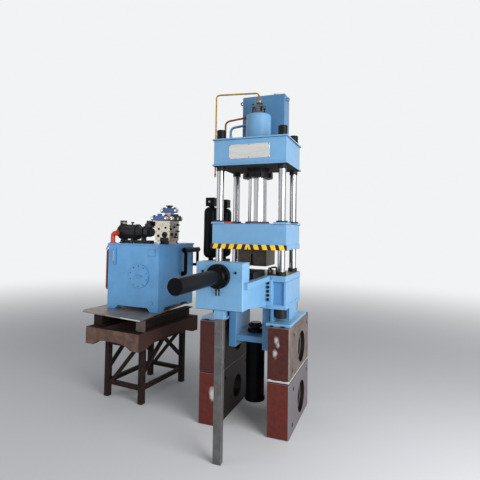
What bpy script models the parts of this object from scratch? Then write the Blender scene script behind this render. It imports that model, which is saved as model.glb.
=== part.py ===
"""Four-column vertical cold-chamber die casting press with its hydraulic power unit.

Metres, +Z up, floor at z = 0. The origin is the middle of the footprint.
The press stands in its own frame, whose z axis is the line of the main ram.
"""

import math

import bmesh
import bpy
from mathutils import Matrix, Vector

# Placing
PRESS_X = 0.8935
PRESS_Y = 0.4297
GAP = 0.0003
BORE_CLEAR = 0.0015
RUN_CLEAR = 0.006
LAP = 0.004
OVER = 0.010
EDGE = 0.003

# Stands: two press crossbeams on edge, two high, on each side
STAND_INNER = 0.264
STAND_OUTER = 0.490
STAND_FRONT = -0.420
STAND_REAR = 0.510
STAND_BLOCK_H = 0.543
STAND_BORE_R = 0.128
STAND_SEAT_R = 0.168
STAND_SEAT_DEPTH = 0.045
STAND_BORE_Y = 0.140
STAND_BORE_LIFT = 0.235
STAND_PIN_R = 0.022
STAND_CHAMFER = 0.008

# Columns
COLUMN_R = 0.040
COLUMN_X = 0.354
COLUMN_Y = 0.248

# Bed weldment
FOOT_T = 0.028
FOOT_INNER = 0.236
FOOT_OUTER = 0.487
FOOT_HALF_D = 0.386
BED_HALF_W = 0.427
BED_HALF_D = 0.325
BED_H = 0.500
TABLE_T = 0.066
BED_FLANGE_T = 0.041
BED_FLANGE_LIFT = 0.161
BED_PANEL_INSET = 0.022
BED_PLATE_T = 0.025
BED_RIB_X = 0.259
BED_LEG_HALF_D = 0.172
BED_PAD_HALF_W = 0.288
BED_PAD_OUT = 0.030
BED_HAND_HOLE_R = 0.032
BED_WELL_R = 0.110
BED_BORE_R = 0.060
BED_WELL_ROOF = 0.120
BED_CHAMFER = 0.006

# Crown
DAYLIGHT = 1.165
CROWN_HALF_W = 0.411
CROWN_HALF_D = 0.312
CROWN_H = 0.302
CROWN_LIP = 0.014
CROWN_LIP_T = 0.020

# Nuts and shoulders on the columns
TOP_NUT_R = 0.050
TOP_NUT_H = 0.106
CROWN_COLLAR_R = 0.047
CROWN_COLLAR_H = 0.048
LOW_NUT_R = 0.060
LOW_NUT_H = 0.097
TABLE_COLLAR_R = 0.0515
TABLE_COLLAR_H = 0.040
SPOT_FACE_D = 0.003
COLUMN_SIDES = 16
CYLINDER_SIDES = 24
BARREL_SIDES = 20
SHOT_SIDES = 16
PIPE_SIDES = 8
NUT_CHAMFER = 0.004

# Main cylinder, gland and ram
BARREL_R = 0.144
BARREL_RISE = 0.317
BARREL_SEAT = 0.060
BARREL_CHAMFER = 0.022
BARREL_TOP_T = 0.045
GLAND_R = 0.128
GLAND_H = 0.052
GLAND_FLANGE_R = 0.172
GLAND_FLANGE_H = 0.060
GLAND_NOTCHES = 8
GLAND_NOTCH_W = 0.046
GLAND_NOTCH_DEPTH = 0.020
RAM_R = 0.106
RAM_LENGTH = 0.750
RAM_SEAT = 0.006
RAM_FLANGE_R = 0.135
RAM_FLANGE_H = 0.016

# Prefill valve and pipes on the main cylinder
VALVE_HALF = 0.078
VALVE_H = 0.105
VALVE_BOLT_R = 0.011
VALVE_BOLT_H = 0.016
VALVE_BOLT_AT = 0.053
FITTING_R = 0.026
FITTING_H = 0.024
BALL_R = 0.040
NECK_R = 0.018
NECK_H = 0.012
BRASS_R = 0.0095
BRASS_X = -0.535
BRASS_RISE = 0.030
BRASS_LENGTH = 0.985
RED_PIPE_R = 0.011
RED_PIPE_X = -0.392
RED_PIPE_Y = -0.045
RED_PIPE_DROP = 0.036
BLUE_PIPE_R = 0.014
BLUE_PIPE_X = -0.375
BLUE_PIPE_Y = 0.075
BLUE_PIPE_DROP = 0.075
PIPE_BEND_R = 0.055
PIPE_FLANGE_R = 0.024
PIPE_FLANGE_H = 0.016
EYE_X = -0.300
EYE_Y = -0.100
EYE_R = 0.020
EYE_T = 0.012

# Oil box on the crown
OIL_BOX_X0 = -0.275
OIL_BOX_X1 = 0.258
OIL_BOX_Y0 = 0.200
OIL_BOX_Y1 = 0.400
OIL_BOX_H = 0.616
OIL_BOX_CHAMFER = 0.010
LUG_R = 0.024
LUG_T = 0.012
LUG_DROP = 0.065
LUG_BACK = 0.045
CAP_R = 0.030
CAP_H = 0.040
CAP_X = 0.120

# Nameplate
PLATE_HALF_W = 0.229
PLATE_H = 0.157
PLATE_T = 0.003
PLATE_LIFT = 0.071

# Platen
PLATEN_HALF_W = 0.423
PLATEN_HALF_D = 0.311
PLATEN_LIFT = 0.261
PLATEN_H = 0.293
PLATEN_EDGE = 0.055
PLATEN_INSET = 0.006
PAD_SIZE = 0.150
PAD_T = 0.022
PAD_OUT = 0.006
BUSH_R = 0.060
BUSH_H = 0.014
BUSH_CLEAR = 0.0006

# Die block
DIE_HALF_W = 0.165
DIE_HALF_D = 0.165
DIE_H = 0.183
DIE_SLOT_W = 0.028
DIE_SLOT_D = 0.035
DIE_SLOT_LIFT = 0.050
DIE_SPRUE_R = 0.030
DIE_SPRUE_H = 0.050

# Front bracket
BRACKET_HALF_W = 0.226
BRACKET_WALL = 0.030
BRACKET_FRONT = -1.050
END_BLOCK_D = 0.160
END_BLOCK_BOTTOM = 0.248
END_BLOCK_TOP = 0.175
BRACKET_ROOT_DROP = 0.311
BRACKET_FLOOR_T = 0.030
BRACKET_FLANGE_T = 0.020
BRACKET_FLANGE_TOP = 0.036
BRACKET_FLANGE_BOTTOM = 0.252
RAIL_OUT = 0.036
RAIL_H = 0.052
RAIL_FRONT = 0.030
BRACKET_CHAMFER = 0.004
TAB_W = 0.096
TAB_D = 0.060

# Side cylinder and carriage
SIDE_AXIS_RISE = 0.053
SIDE_FLANGE_R = 0.109
SIDE_FLANGE_T = 0.050
SIDE_BARREL_R = 0.064
SIDE_LENGTH = 0.769
SIDE_ROD_R = 0.022
SIDE_CAP_T = 0.040
PORT_R = 0.0065
PORT_X = 0.014
PORT_DROP = 0.060
CARRIAGE_HALF_W = 0.205
CARRIAGE_LENGTH = 0.360
CARRIAGE_REAR = -0.340
CARRIAGE_H = 0.060
CARRIAGE_HEAD_R = 0.030
CARRIAGE_HEAD_T = 0.020
CARRIAGE_SLOT_W = 0.024
CARRIAGE_SLOT_D = 0.018
CARRIAGE_ROD_END = -1.580

# Prop under the bracket
PROP_W = 0.076
PROP_D = 0.050
PROP_WALL = 0.006
PROP_TOP = 1.260
PROP_JOINT = 1.010
PROP_BEAD = 0.003
PROP_CAP_T = 0.010
PROP_BEAD_H = 0.008
PROP_Y = -1.010

# Shot frame and shot cylinder
SHOT_LEG_IN = 0.150
SHOT_LEG_OUT = 0.228
SHOT_HALF_D = 0.230
SHOT_WALL = 0.022
SHOT_BOTTOM = 0.790
SHOT_BAR_Z = 0.860
SHOT_BAR_H = 0.060
SHOT_R = 0.104
SHOT_BASE_Z = 0.180
SHOT_FLANGE_R = 0.135
SHOT_FLANGE_H = 0.045
SHOT_FOOT_H = 0.035
SHOT_ROD_R = 0.045
SHOT_ROD_LENGTH = 0.430
COUPLING_R = 0.088
COUPLING_TOP_R = 0.060
COUPLING_WAIST_R = 0.046
COUPLING_H = 0.104

# Accumulators
BOTTLE_R = 0.096
BOTTLE_BOTTOM = 1.690
BOTTLE_TOP = 2.345
BOTTLE_NECK_R = 0.032
BOTTLE_FRONT_X = -0.754
BOTTLE_FRONT_Y = 0.391
BOTTLE_REAR_X = -0.716
BOTTLE_REAR_Y = 0.727
BOTTLE_NECK_H = 0.020
BOTTLE_FOOT_H = 0.030
BOTTLE_CROWN_H = 0.070
MANIFOLD_LAP = 0.090
HEAD_SIZE = 0.120
HEAD_H = 0.110
MANIFOLD_H = 0.070
MANIFOLD_W = 0.110
ARM_T = 0.016
ARM_H = 0.110
ARM_Y0 = 0.200
ARM_Y1 = 0.300

# Power unit
UNIT_X = -1.676
UNIT_Y = 0.4625
UNIT_YAW = -2.5
TANK_W = 0.797
TANK_D = 0.847
TANK_H = 0.838
TANK_FOOT_H = 0.050
TANK_FOOT_IN = 0.110
TANK_FOOT_SLOPE = 0.055
LID_T = 0.018
LID_OUT = 0.012
COVER_R = 0.155
COVER_T = 0.014
COVER_IN = 0.298
COVER_DROP = 0.394
HANDLE_W = 0.104
HANDLE_H = 0.016
HANDLE_OUT = 0.026
GAUGE_IN = 0.094
GAUGE_DROP = 0.148
GAUGE_W = 0.060
GAUGE_H = 0.215
GAUGE_T = 0.020
GAUGE_SLOT = 0.022
GAUGE_END = 0.030
SMALL_COVER_IN = 0.106
SMALL_COVER_DROP = 0.090
SMALL_COVER_W = 0.100
SMALL_COVER_H = 0.094
DRAIN_RISE = 0.120
DRAIN_R = 0.028

# Motor, pump and valves on the lid
MOTOR_R = 0.105
MOTOR_X0 = -0.365
MOTOR_LENGTH = 0.300
MOTOR_Y = -0.240
MOTOR_RISE = 0.150
MOTOR_FINS = 8
MOTOR_FIN_H = 0.008
MOTOR_FIN_T = 0.006
MOTOR_COWL = 0.056
MOTOR_SHIELD = 0.024
MOTOR_FOOT_W = 0.150
MOTOR_FOOT_L = 0.044
MOTOR_FOOT_T = 0.014
MOTOR_FOOT_IN = 0.070
MOTOR_LEG_L = 0.032
TERMINAL_W = 0.066
TERMINAL_IN = 0.048
TERMINAL_H = 0.045
BELL_R = 0.090
BELL_LENGTH = 0.110
BELL_RIM = 0.016
BELL_FOOT_W = 0.080
BELL_FOOT_T = 0.026
BELL_FOOT_IN = 0.021
PUMP_R = 0.066
PUMP_LENGTH = 0.120
BLOCK_X = 0.365
BLOCK_Y = -0.205
BLOCK_W = 0.215
BLOCK_D = 0.230
BLOCK_BASE_H = 0.045
BLOCK_H = 0.255
PORT_DEPTH = 0.020
FRONT_PORTS = (
    (-0.055, 0.060, 0.020),
    (0.040, 0.075, 0.026),
    (-0.050, 0.150, 0.016),
    (0.050, 0.165, 0.016),
)
SIDE_PORTS = ((-0.050, 0.080, 0.022), (0.045, 0.080, 0.022), (0.0, 0.175, 0.016))
RISER_X = -0.001
RISER_Y = 0.045
RISER_W = 0.090
RISER_D = 0.080
RISER_H = 0.105
VALVE_LENGTH = 0.250
VALVE_BODY_L = 0.120
VALVE_D = 0.060
VALVE_LOW_X = -0.075
VALVE_LOW_Y = -0.065
VALVE_SIDE_X = 0.080
VALVE_SIDE_Y = 0.085
SPOOL_H = 0.064
SOLENOID_R = 0.027
PLUG_W = 0.044
PLUG_H = 0.028
ELBOW_R = 0.030
ELBOW_IN = 0.034
ELBOW_RISE = 0.132
ELBOW_REACH = 0.062
ELBOW_FLANGE = 0.010
FILTER_R = 0.034
FILTER_OUT = 0.050
FILTER_DROP = 0.073
FILTER_START = 0.517
FILTER_LEG_R = 0.024
FILTER_LEG_DROP = 0.400
RETURN_R = 0.021
RETURN_BEHIND = 0.040
RETURN_DROP = 0.290
RETURN_IN = 0.100
SIDE_PIPE_R = 0.019
SIDE_PIPE_IN = 0.030
SIDE_PIPE_OUT = 0.040
SIDE_PIPE_RISE = 0.250
SIDE_PIPE_DROP = 0.078
PIPE_BOSS_H = 0.008
BREATHER_R = 0.024
BREATHER_H = 0.038
BREATHER_IN = 0.044

# Deck plate, spacers and trestle under the tank
DECK_T = 0.014
DECK_OUTLINE = (
    (-2.277, -0.165),
    (-2.225, -0.249),
    (-1.260, -0.405),
    (-1.341, 0.861),
    (-1.430, 0.930),
    (-2.200, 0.960),
)
TRESTLE_X = -1.595
TRESTLE_Y = 0.216
TRESTLE_YAW = -5.5
TRESTLE_HALF_W = 0.410
TRESTLE_HALF_D = 0.620
TRESTLE_TOP = 0.850
BEAM_H = 0.200
BEAM_MID_H = 0.130
BEAM_T = 0.060
BEAM_ARCH_END = 0.120
SPACER_H = 0.136
SPACER_W = 0.115
SPACER_FLANGE = 0.012
SPACER_X = (-0.335, 0.335)
SPACER_FRONT = -0.590
SPACER_LENGTH = 1.100
LEG_SIZE = 0.062
LEG_X = (-0.207, 0.318)
LEG_Y = (-0.436, 0.380)
LOW_RAIL_Z = 0.150
LOW_RAIL_H = 0.050
LOW_RAIL_T = 0.040
BRACE_SIZE = 0.038
BRACE_RISE = 0.330

STAND_TOP = 2 * STAND_BLOCK_H + GAP
FOOT_Z = STAND_TOP + GAP
FLANGE_Z = FOOT_Z + BED_FLANGE_LIFT
TABLE_Z = FOOT_Z + BED_H
CROWN_Z = TABLE_Z + DAYLIGHT
CROWN_TOP = CROWN_Z + CROWN_H
PLATEN_Z = TABLE_Z + PLATEN_LIFT
BARREL_TOP = CROWN_TOP + BARREL_RISE
SIDE_AXIS_Z = TABLE_Z + SIDE_AXIS_RISE
BRACKET_BACK = -BED_HALF_D - BED_PAD_OUT - GAP
DECK_Z = TRESTLE_TOP + GAP + SPACER_H + GAP
TANK_Z = DECK_Z + DECK_T + GAP
LID_Z = TANK_Z + TANK_H + GAP
LID_TOP = LID_Z + LID_T


def clear_scene():
    for obj in list(bpy.data.objects):
        bpy.data.objects.remove(obj, do_unlink=True)


def paint(name, rgb, rough, metal=0.0):
    mat = bpy.data.materials.new(name)
    mat.use_nodes = True
    bsdf = mat.node_tree.nodes["Principled BSDF"]
    bsdf.inputs["Base Color"].default_value = (rgb[0], rgb[1], rgb[2], 1.0)
    bsdf.inputs["Roughness"].default_value = rough
    bsdf.inputs["Metallic"].default_value = metal
    mat.diffuse_color = (rgb[0], rgb[1], rgb[2], 1.0)
    return mat


def empty(name, location, yaw=0.0, parent=None):
    obj = bpy.data.objects.new(name, None)
    bpy.context.collection.objects.link(obj)
    obj.location = location
    obj.rotation_euler = (0.0, 0.0, math.radians(yaw))
    obj.parent = parent
    return obj


def add_mesh(name, bm, parent, mat=None, at=(0.0, 0.0, 0.0)):
    """A mesh object from bm, whose points are in the parent's frame."""
    bmesh.ops.translate(bm, verts=bm.verts, vec=-Vector(at))
    bmesh.ops.recalc_face_normals(bm, faces=bm.faces)
    mesh = bpy.data.meshes.new(name)
    bm.to_mesh(mesh)
    bm.free()
    if mat:
        own = mat.copy()
        own.name = name
        mesh.materials.append(own)
    mesh.shade_smooth()
    mesh.set_sharp_from_angle(angle=math.radians(35))
    obj = bpy.data.objects.new(name, mesh)
    bpy.context.collection.objects.link(obj)
    obj.parent = parent
    obj.location = at
    return obj


def boolean(obj, bm, operation):
    """Adds a Boolean whose operand bm is in the same frame as the object's parent."""
    tool = add_mesh(obj.name + "_" + operation.lower(), bm, obj.parent)
    tool.hide_render = True
    tool.display_type = "WIRE"
    mod = obj.modifiers.new(operation.title(), "BOOLEAN")
    mod.operation = operation
    mod.solver = "EXACT"
    mod.object = tool


def cut(obj, *shapes):
    for bm in shapes:
        boolean(obj, bm, "DIFFERENCE")


def join(obj, *shapes):
    for bm in shapes:
        boolean(obj, bm, "UNION")


def box(x0, x1, y0, y1, z0, z1):
    bm = bmesh.new()
    bmesh.ops.create_cube(bm, size=1.0)
    bmesh.ops.scale(bm, verts=bm.verts, vec=(abs(x1 - x0), abs(y1 - y0), abs(z1 - z0)))
    bmesh.ops.translate(bm, verts=bm.verts, vec=Vector((x0 + x1, y0 + y1, z0 + z1)) / 2)
    return bm


def chamfered(bm, width):
    bmesh.ops.bevel(bm, geom=list(bm.edges), offset=width, segments=1, affect="EDGES")
    return bm


LAY = {
    "X": Matrix(((0, 0, 1), (1, 0, 0), (0, 1, 0))).to_4x4(),
    "Y": Matrix(((1, 0, 0), (0, 0, 1), (0, 1, 0))).to_4x4(),
    "Z": Matrix.Identity(4),
}


def lay(bm, axis, at):
    """Turns a shape built along +Z to lie along the axis, and moves it.

    An outline's two coordinates become Y and Z along X, or X and Z along Y.
    """
    bmesh.ops.transform(bm, verts=bm.verts, matrix=LAY[axis])
    bmesh.ops.translate(bm, verts=bm.verts, vec=at)
    return bm


def turned(profile, sides=32, axis="Z", at=(0.0, 0.0, 0.0)):
    """A solid turned from (radius, height) points.

    The profile starts and ends on the axis, or else closes on itself as a ring.
    """
    bm = bmesh.new()
    rings = []
    for radius, height in profile:
        if radius < 1e-6:
            rings.append([bm.verts.new((0.0, 0.0, height))])
            continue
        ring = []
        for i in range(sides):
            a = 2 * math.pi * i / sides
            ring.append(bm.verts.new((radius * math.cos(a), radius * math.sin(a), height)))
        rings.append(ring)
    pairs = list(zip(rings, rings[1:]))
    if len(rings[0]) > 1:
        pairs.append((rings[-1], rings[0]))
    for low, high in pairs:
        for i in range(sides):
            j = (i + 1) % sides
            if len(low) == 1:
                bm.faces.new((low[0], high[j], high[i]))
            elif len(high) == 1:
                bm.faces.new((low[i], low[j], high[0]))
            else:
                bm.faces.new((low[i], low[j], high[j], high[i]))
    return lay(bm, axis, at)


def rod(radius, z0, z1, sides=32, axis="Z", at=(0.0, 0.0, 0.0)):
    profile = ((0.0, z0), (radius, z0), (radius, z1), (0.0, z1))
    return turned(profile, sides, axis, at)


def prism(outline, low, high, axis="Z", at=(0.0, 0.0, 0.0)):
    """A flat outline, extruded along the axis from low to high."""
    bm = bmesh.new()
    face = bm.faces.new([bm.verts.new((u, v, low)) for u, v in outline])
    made = bmesh.ops.extrude_face_region(bm, geom=[face])
    top = [v for v in made["geom"] if isinstance(v, bmesh.types.BMVert)]
    bmesh.ops.translate(bm, verts=top, vec=(0.0, 0.0, high - low))
    return lay(bm, axis, at)


def nut_profile(radius, bore, z0, z1):
    c = NUT_CHAMFER
    return (
        (bore, z0),
        (radius - c, z0),
        (radius, z0 + c),
        (radius, z1 - c),
        (radius - c, z1),
        (bore, z1),
    )


def rounded_route(corners, radius, steps=6):
    """Points along straight runs, with a round bend at each inner corner."""
    pts = [Vector(c) for c in corners]
    route = [pts[0]]
    for before, corner, after in zip(pts, pts[1:], pts[2:]):
        a = (before - corner).normalized()
        b = (after - corner).normalized()
        half = a.angle(b) / 2
        centre = corner + (a + b).normalized() * (radius / math.sin(half))
        start = corner + a * (radius / math.tan(half))
        arm = start - centre
        turn = a.cross(b).normalized()
        sweep = math.pi - 2 * half
        for i in range(steps + 1):
            spin = Matrix.Rotation(-sweep * i / steps, 3, turn)
            route.append(centre + spin @ arm)
    route.append(pts[-1])
    return route


def swept(corners, radius, bend=PIPE_BEND_R, sides=10, steps=5):
    """A round bar that follows a route with rounded bends, mitred so that its sides stay flat."""
    route = rounded_route(corners, bend, steps)
    ways = [(high - low).normalized() for low, high in zip(route, route[1:])]
    ways.append(ways[-1])
    bm = bmesh.new()
    rings = []
    seed = Vector((0, 0, 1)) if abs(ways[0].z) < 0.9 else Vector((1, 0, 0))
    normal = ways[0].cross(seed).normalized()
    behind = ways[0]
    for co, ahead in zip(route, ways):
        normal = behind.rotation_difference(ahead) @ normal
        across = ahead.cross(normal)
        mitre = (ahead + behind).normalized()
        ring = []
        for k in range(sides):
            a = 2 * math.pi * k / sides
            arm = radius * (normal * math.cos(a) + across * math.sin(a))
            ring.append(bm.verts.new(co + arm - ahead * arm.dot(mitre) / ahead.dot(mitre)))
        rings.append(ring)
        behind = ahead
    for low, high in zip(rings, rings[1:]):
        for k in range(sides):
            m = (k + 1) % sides
            bm.faces.new((low[k], low[m], high[m], high[k]))
    bm.faces.new(list(reversed(rings[0])))
    bm.faces.new(rings[-1])
    return bm


def pipe(name, corners, radius, bend, parent, mat):
    """A bent pipe as a bevelled curve with filled ends."""
    route = rounded_route(corners, bend)
    curve = bpy.data.curves.new(name, "CURVE")
    curve.dimensions = "3D"
    spline = curve.splines.new("POLY")
    spline.points.add(len(route) - 1)
    for point, co in zip(spline.points, route):
        point.co = (co.x, co.y, co.z, 1.0)
    curve.bevel_depth = radius
    curve.bevel_resolution = 2
    curve.use_fill_caps = True
    own = mat.copy()
    own.name = name
    curve.materials.append(own)
    obj = bpy.data.objects.new(name, curve)
    bpy.context.collection.objects.link(obj)
    obj.parent = parent
    return obj


def bar(start, end, width, depth):
    """A straight flat-ended bar between two points, its width level."""
    a, b = Vector(start), Vector(end)
    along = (b - a).normalized()
    up = Vector((0, 0, 1)) if abs(along.z) < 0.95 else Vector((0, 1, 0))
    across = along.cross(up).normalized() * width / 2
    lift = across.cross(along).normalized() * depth / 2
    bm = bmesh.new()
    ends = []
    for p in (a, b):
        corners = [(-1, -1), (1, -1), (1, 1), (-1, 1)]
        ends.append([bm.verts.new(p + across * i + lift * j) for i, j in corners])
    bm.faces.new(ends[0])
    bm.faces.new(ends[1])
    for i in range(4):
        j = (i + 1) % 4
        bm.faces.new((ends[0][i], ends[0][j], ends[1][j], ends[1][i]))
    return bm


def column_places():
    return [(sx * COLUMN_X, sy * COLUMN_Y) for sx in (-1, 1) for sy in (-1, 1)]


def place_name(x, y):
    return "%s_%s" % ("front" if y < 0 else "rear", "left" if x < 0 else "right")


def span(a, b):
    return (a, b) if a < b else (b, a)


def make_stands(press, primer):
    """Two-high stacks of crossbeams on edge, bored through from side to side."""
    for side, side_name in ((-1, "left"), (1, "right")):
        for level, level_name in ((0, "lower"), (1, "upper")):
            z0 = level * (STAND_BLOCK_H + GAP)
            z1 = z0 + STAND_BLOCK_H
            x0, x1 = span(side * STAND_INNER, side * STAND_OUTER)
            shape = chamfered(box(x0, x1, STAND_FRONT, STAND_REAR, z0, z1), STAND_CHAMFER)
            obj = add_mesh("stand_%s_%s" % (side_name, level_name), shape, press, primer)
            at = (0, STAND_BORE_Y, z0 + STAND_BORE_LIFT)
            cut(obj, rod(STAND_BORE_R, x0 - LAP, x1 + LAP, 20, "X", at))
            face = side * STAND_OUTER
            s0, s1 = span(face - side * STAND_SEAT_DEPTH, face + side * LAP)
            cut(obj, rod(STAND_SEAT_R, s0, s1, 24, "X", at))
            for py, pz in ((-0.220, 0.440), (-0.260, 0.090), (0.420, 0.440)):
                cut(obj, rod(STAND_PIN_R, x0 - LAP, x1 + LAP, 8, "X", (0, py, z0 + pz)))


def bed_leg(side):
    """One side's foot and box leg, whose corners are open for the column nuts."""
    foot_top = FOOT_Z + FOOT_T
    x0, x1 = span(side * FOOT_INNER, side * FOOT_OUTER)
    foot = box(x0, x1, -FOOT_HALF_D, FOOT_HALF_D, FOOT_Z, foot_top)
    depth = BED_HALF_D - BED_PANEL_INSET
    low, high = foot_top - LAP, FLANGE_Z + LAP
    x0, x1 = span(side * BED_RIB_X, side * (BED_RIB_X + BED_PLATE_T))
    rib = box(x0, x1, -depth, depth, low, high)
    outer = BED_HALF_W - 0.003
    x0, x1 = span(side * outer, side * (outer - BED_PLATE_T))
    cheek = box(x0, x1, -BED_LEG_HALF_D, BED_LEG_HALF_D, low, high)
    shapes = [foot, rib, cheek]
    x0, x1 = span(side * (BED_RIB_X + LAP), side * (outer - LAP))
    for end in (-1, 1):
        y0, y1 = span(end * (BED_LEG_HALF_D - BED_PLATE_T), end * (BED_LEG_HALF_D - 0.002))
        shapes.append(box(x0, x1, y0, y1, low, high))
    return shapes


def make_bed(press, blue):
    """The bed weldment: machined table, panelled box, flange and two open legs."""
    w, d = BED_HALF_W, BED_HALF_D
    flange_top = FLANGE_Z + BED_FLANGE_T
    table = TABLE_Z - TABLE_T
    deep = d - BED_PANEL_INSET
    shape = box(-w + 0.014, w - 0.014, -deep, deep, flange_top - LAP, table + LAP)
    obj = add_mesh("bed", shape, press, blue)
    for side in (-1, 1):
        x0, x1 = span(side * (w - BED_PLATE_T), side * (w - 0.003))
        join(obj, box(x0, x1, -d + 0.003, d - 0.003, flange_top - LAP, table + LAP))
    pad = BED_PAD_HALF_W
    join(obj, box(-pad, pad, -d - BED_PAD_OUT, -deep + LAP, flange_top - 0.002, TABLE_Z - 0.030))
    for end in (-1, 1):
        y0, y1 = span(end * (deep - LAP), end * (d - 0.003))
        for side in (-1, 1):
            x0, x1 = span(side * BED_RIB_X, side * (BED_RIB_X + BED_PLATE_T))
            join(obj, box(x0, x1, y0, y1, flange_top - LAP, table + LAP))
    join(obj, box(-w, w, -d, d, FLANGE_Z, flange_top))
    join(obj, chamfered(box(-w, w, -d, d, table, TABLE_Z), BED_CHAMFER))
    for side in (-1, 1):
        join(obj, *bed_leg(side))
    hand_hole = (FOOT_Z + FOOT_T + FLANGE_Z) / 2
    for side in (-1, 1):
        x0, x1 = span(side * (BED_RIB_X - LAP), side * (BED_RIB_X + BED_PLATE_T + LAP))
        cut(obj, rod(BED_HAND_HOLE_R, x0, x1, 12, "X", (0, 0, hand_hole)))
    bore = COLUMN_R + BORE_CLEAR
    for x, y in column_places():
        cut(obj, rod(bore, FLANGE_Z - 0.02, TABLE_Z + 0.02, COLUMN_SIDES, "Z", (x, y, 0)))
        seat = TABLE_COLLAR_R + BORE_CLEAR
        cut(obj, rod(seat, TABLE_Z - SPOT_FACE_D, TABLE_Z + 0.02, COLUMN_SIDES, "Z", (x, y, 0)))
    cut(obj, rod(BED_WELL_R, FLANGE_Z - 0.02, TABLE_Z - BED_WELL_ROOF, 24))
    cut(obj, rod(BED_BORE_R, TABLE_Z - BED_WELL_ROOF - OVER, TABLE_Z + 0.02, 16))


def make_columns(press, chrome, black):
    """Turned columns, headed below and with a shoulder at the table and crown."""
    for x, y in column_places():
        h1 = FLANGE_Z - GAP
        h0 = h1 - LOW_NUT_H
        high = CROWN_TOP + TOP_NUT_H - 0.014
        r = COLUMN_R
        t0, t1 = TABLE_Z - SPOT_FACE_D + GAP, TABLE_Z + TABLE_COLLAR_H
        k0, k1 = CROWN_Z - GAP - CROWN_COLLAR_H, CROWN_Z - GAP
        profile = (
            (0, h0),
            (LOW_NUT_R, h0),
            (LOW_NUT_R, h1),
            (r, h1),
            (r, t0),
            (TABLE_COLLAR_R, t0),
            (TABLE_COLLAR_R, t1),
            (r, t1),
            (r, k0),
            (CROWN_COLLAR_R, k0),
            (CROWN_COLLAR_R, k1),
            (r, k1),
            (r, high),
            (0, high),
        )
        tag = place_name(x, y)
        add_mesh("column_" + tag, turned(profile, COLUMN_SIDES, "Z", (x, y, 0)), press, chrome)
        bore = COLUMN_R + GAP
        z0 = CROWN_TOP + GAP
        top = nut_profile(TOP_NUT_R, bore, z0, z0 + TOP_NUT_H)
        add_mesh("top_nut_" + tag, turned(top, COLUMN_SIDES, "Z", (x, y, 0)), press, black)


def make_crown(press, blue):
    """A box-section crosshead with thin overhanging cover plates."""
    w, d, out = CROWN_HALF_W, CROWN_HALF_D, CROWN_LIP
    z0, z1, t = CROWN_Z, CROWN_TOP, CROWN_LIP_T
    obj = add_mesh("crown", box(-w, w, -d, d, z0 + t - LAP, z1 - t + LAP), press, blue)
    wide, deep = w + out, d + out
    join(obj, chamfered(box(-wide, wide, -deep, deep, z0, z0 + t), EDGE))
    join(obj, chamfered(box(-wide, wide, -deep, deep, z1 - t, z1), EDGE))
    eye = (EYE_X, EYE_Y, z1 + EYE_R * 0.8)
    join(obj, rod(EYE_R, -EYE_T / 2, EYE_T / 2, 12, "Y", eye))
    cut(obj, rod(EYE_R * 0.5, -EYE_T, EYE_T, 8, "Y", eye))
    for x, y in column_places():
        cut(obj, rod(COLUMN_R + BORE_CLEAR, z0 - 0.02, z1 + 0.02, COLUMN_SIDES, "Z", (x, y, 0)))
    cut(obj, rod(BARREL_R + BORE_CLEAR, z0 + BARREL_SEAT, z1 + 0.02, CYLINDER_SIDES))
    cut(obj, rod(GLAND_R + BORE_CLEAR, z0 - 0.02, z0 + BARREL_SEAT + OVER, CYLINDER_SIDES))


def make_main_cylinder(press, blue, black):
    """The barrel, open below, and the castellated gland that holds its packing."""
    z0 = CROWN_Z + BARREL_SEAT + GAP
    z1 = BARREL_TOP
    bore = RAM_R + RUN_CLEAR
    c = BARREL_CHAMFER
    profile = (
        (0, z1 - BARREL_TOP_T),
        (bore, z1 - BARREL_TOP_T),
        (bore, z0),
        (BARREL_R, z0),
        (BARREL_R, z1 - c),
        (BARREL_R - c * 0.3, z1 - c * 0.3),
        (BARREL_R - c, z1),
        (0, z1),
    )
    add_mesh("main_cylinder", turned(profile, CYLINDER_SIDES), press, blue)
    top = z0 - 2 * GAP
    rim = CROWN_Z - GLAND_H
    low = rim - GLAND_FLANGE_H
    profile = (
        (bore, low),
        (GLAND_FLANGE_R - 0.004, low),
        (GLAND_FLANGE_R, low + 0.004),
        (GLAND_FLANGE_R, rim),
        (GLAND_R, rim),
        (GLAND_R, top),
        (bore, top),
    )
    gland = add_mesh("cylinder_gland", turned(profile, CYLINDER_SIDES), press, black)
    half = GLAND_NOTCH_W / 2
    inner = GLAND_FLANGE_R - GLAND_NOTCH_DEPTH
    for i in range(GLAND_NOTCHES):
        tool = box(inner, GLAND_FLANGE_R + 0.02, -half, half, low - OVER, rim - 0.012)
        spin = Matrix.Rotation(2 * math.pi * (i + 0.5) / GLAND_NOTCHES, 4, "Z")
        bmesh.ops.transform(tool, verts=tool.verts, matrix=spin)
        cut(gland, tool)


def make_prefill(press, grey):
    """The square valve on the barrel's cap, its tie bolts and its ball fitting."""
    z0 = BARREL_TOP + GAP
    z1 = z0 + VALVE_H
    h, b = VALVE_HALF, VALVE_BOLT_AT
    obj = add_mesh("prefill_valve", chamfered(box(-h, h, -h, h, z0, z1), EDGE), press, grey)
    for x, y in ((-b, -b), (b, -b), (b, b), (-b, b)):
        join(obj, rod(VALVE_BOLT_R, z1 - LAP, z1 + VALVE_BOLT_H, 8, "Z", (x, y, 0)))
    base = z1 + GAP
    ball = base + FITTING_H + BALL_R * 0.8
    profile = [(0, base), (FITTING_R, base), (FITTING_R, base + FITTING_H * 0.6)]
    for i in range(5):
        a = math.radians(-58 + 116 * i / 4)
        profile.append((BALL_R * math.cos(a), ball + BALL_R * math.sin(a)))
    top = ball + BALL_R + NECK_H
    profile += [(NECK_R, top - NECK_H * 0.7), (NECK_R, top), (0, top)]
    add_mesh("valve_fitting", turned(profile, 14), press, grey)
    return top


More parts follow.
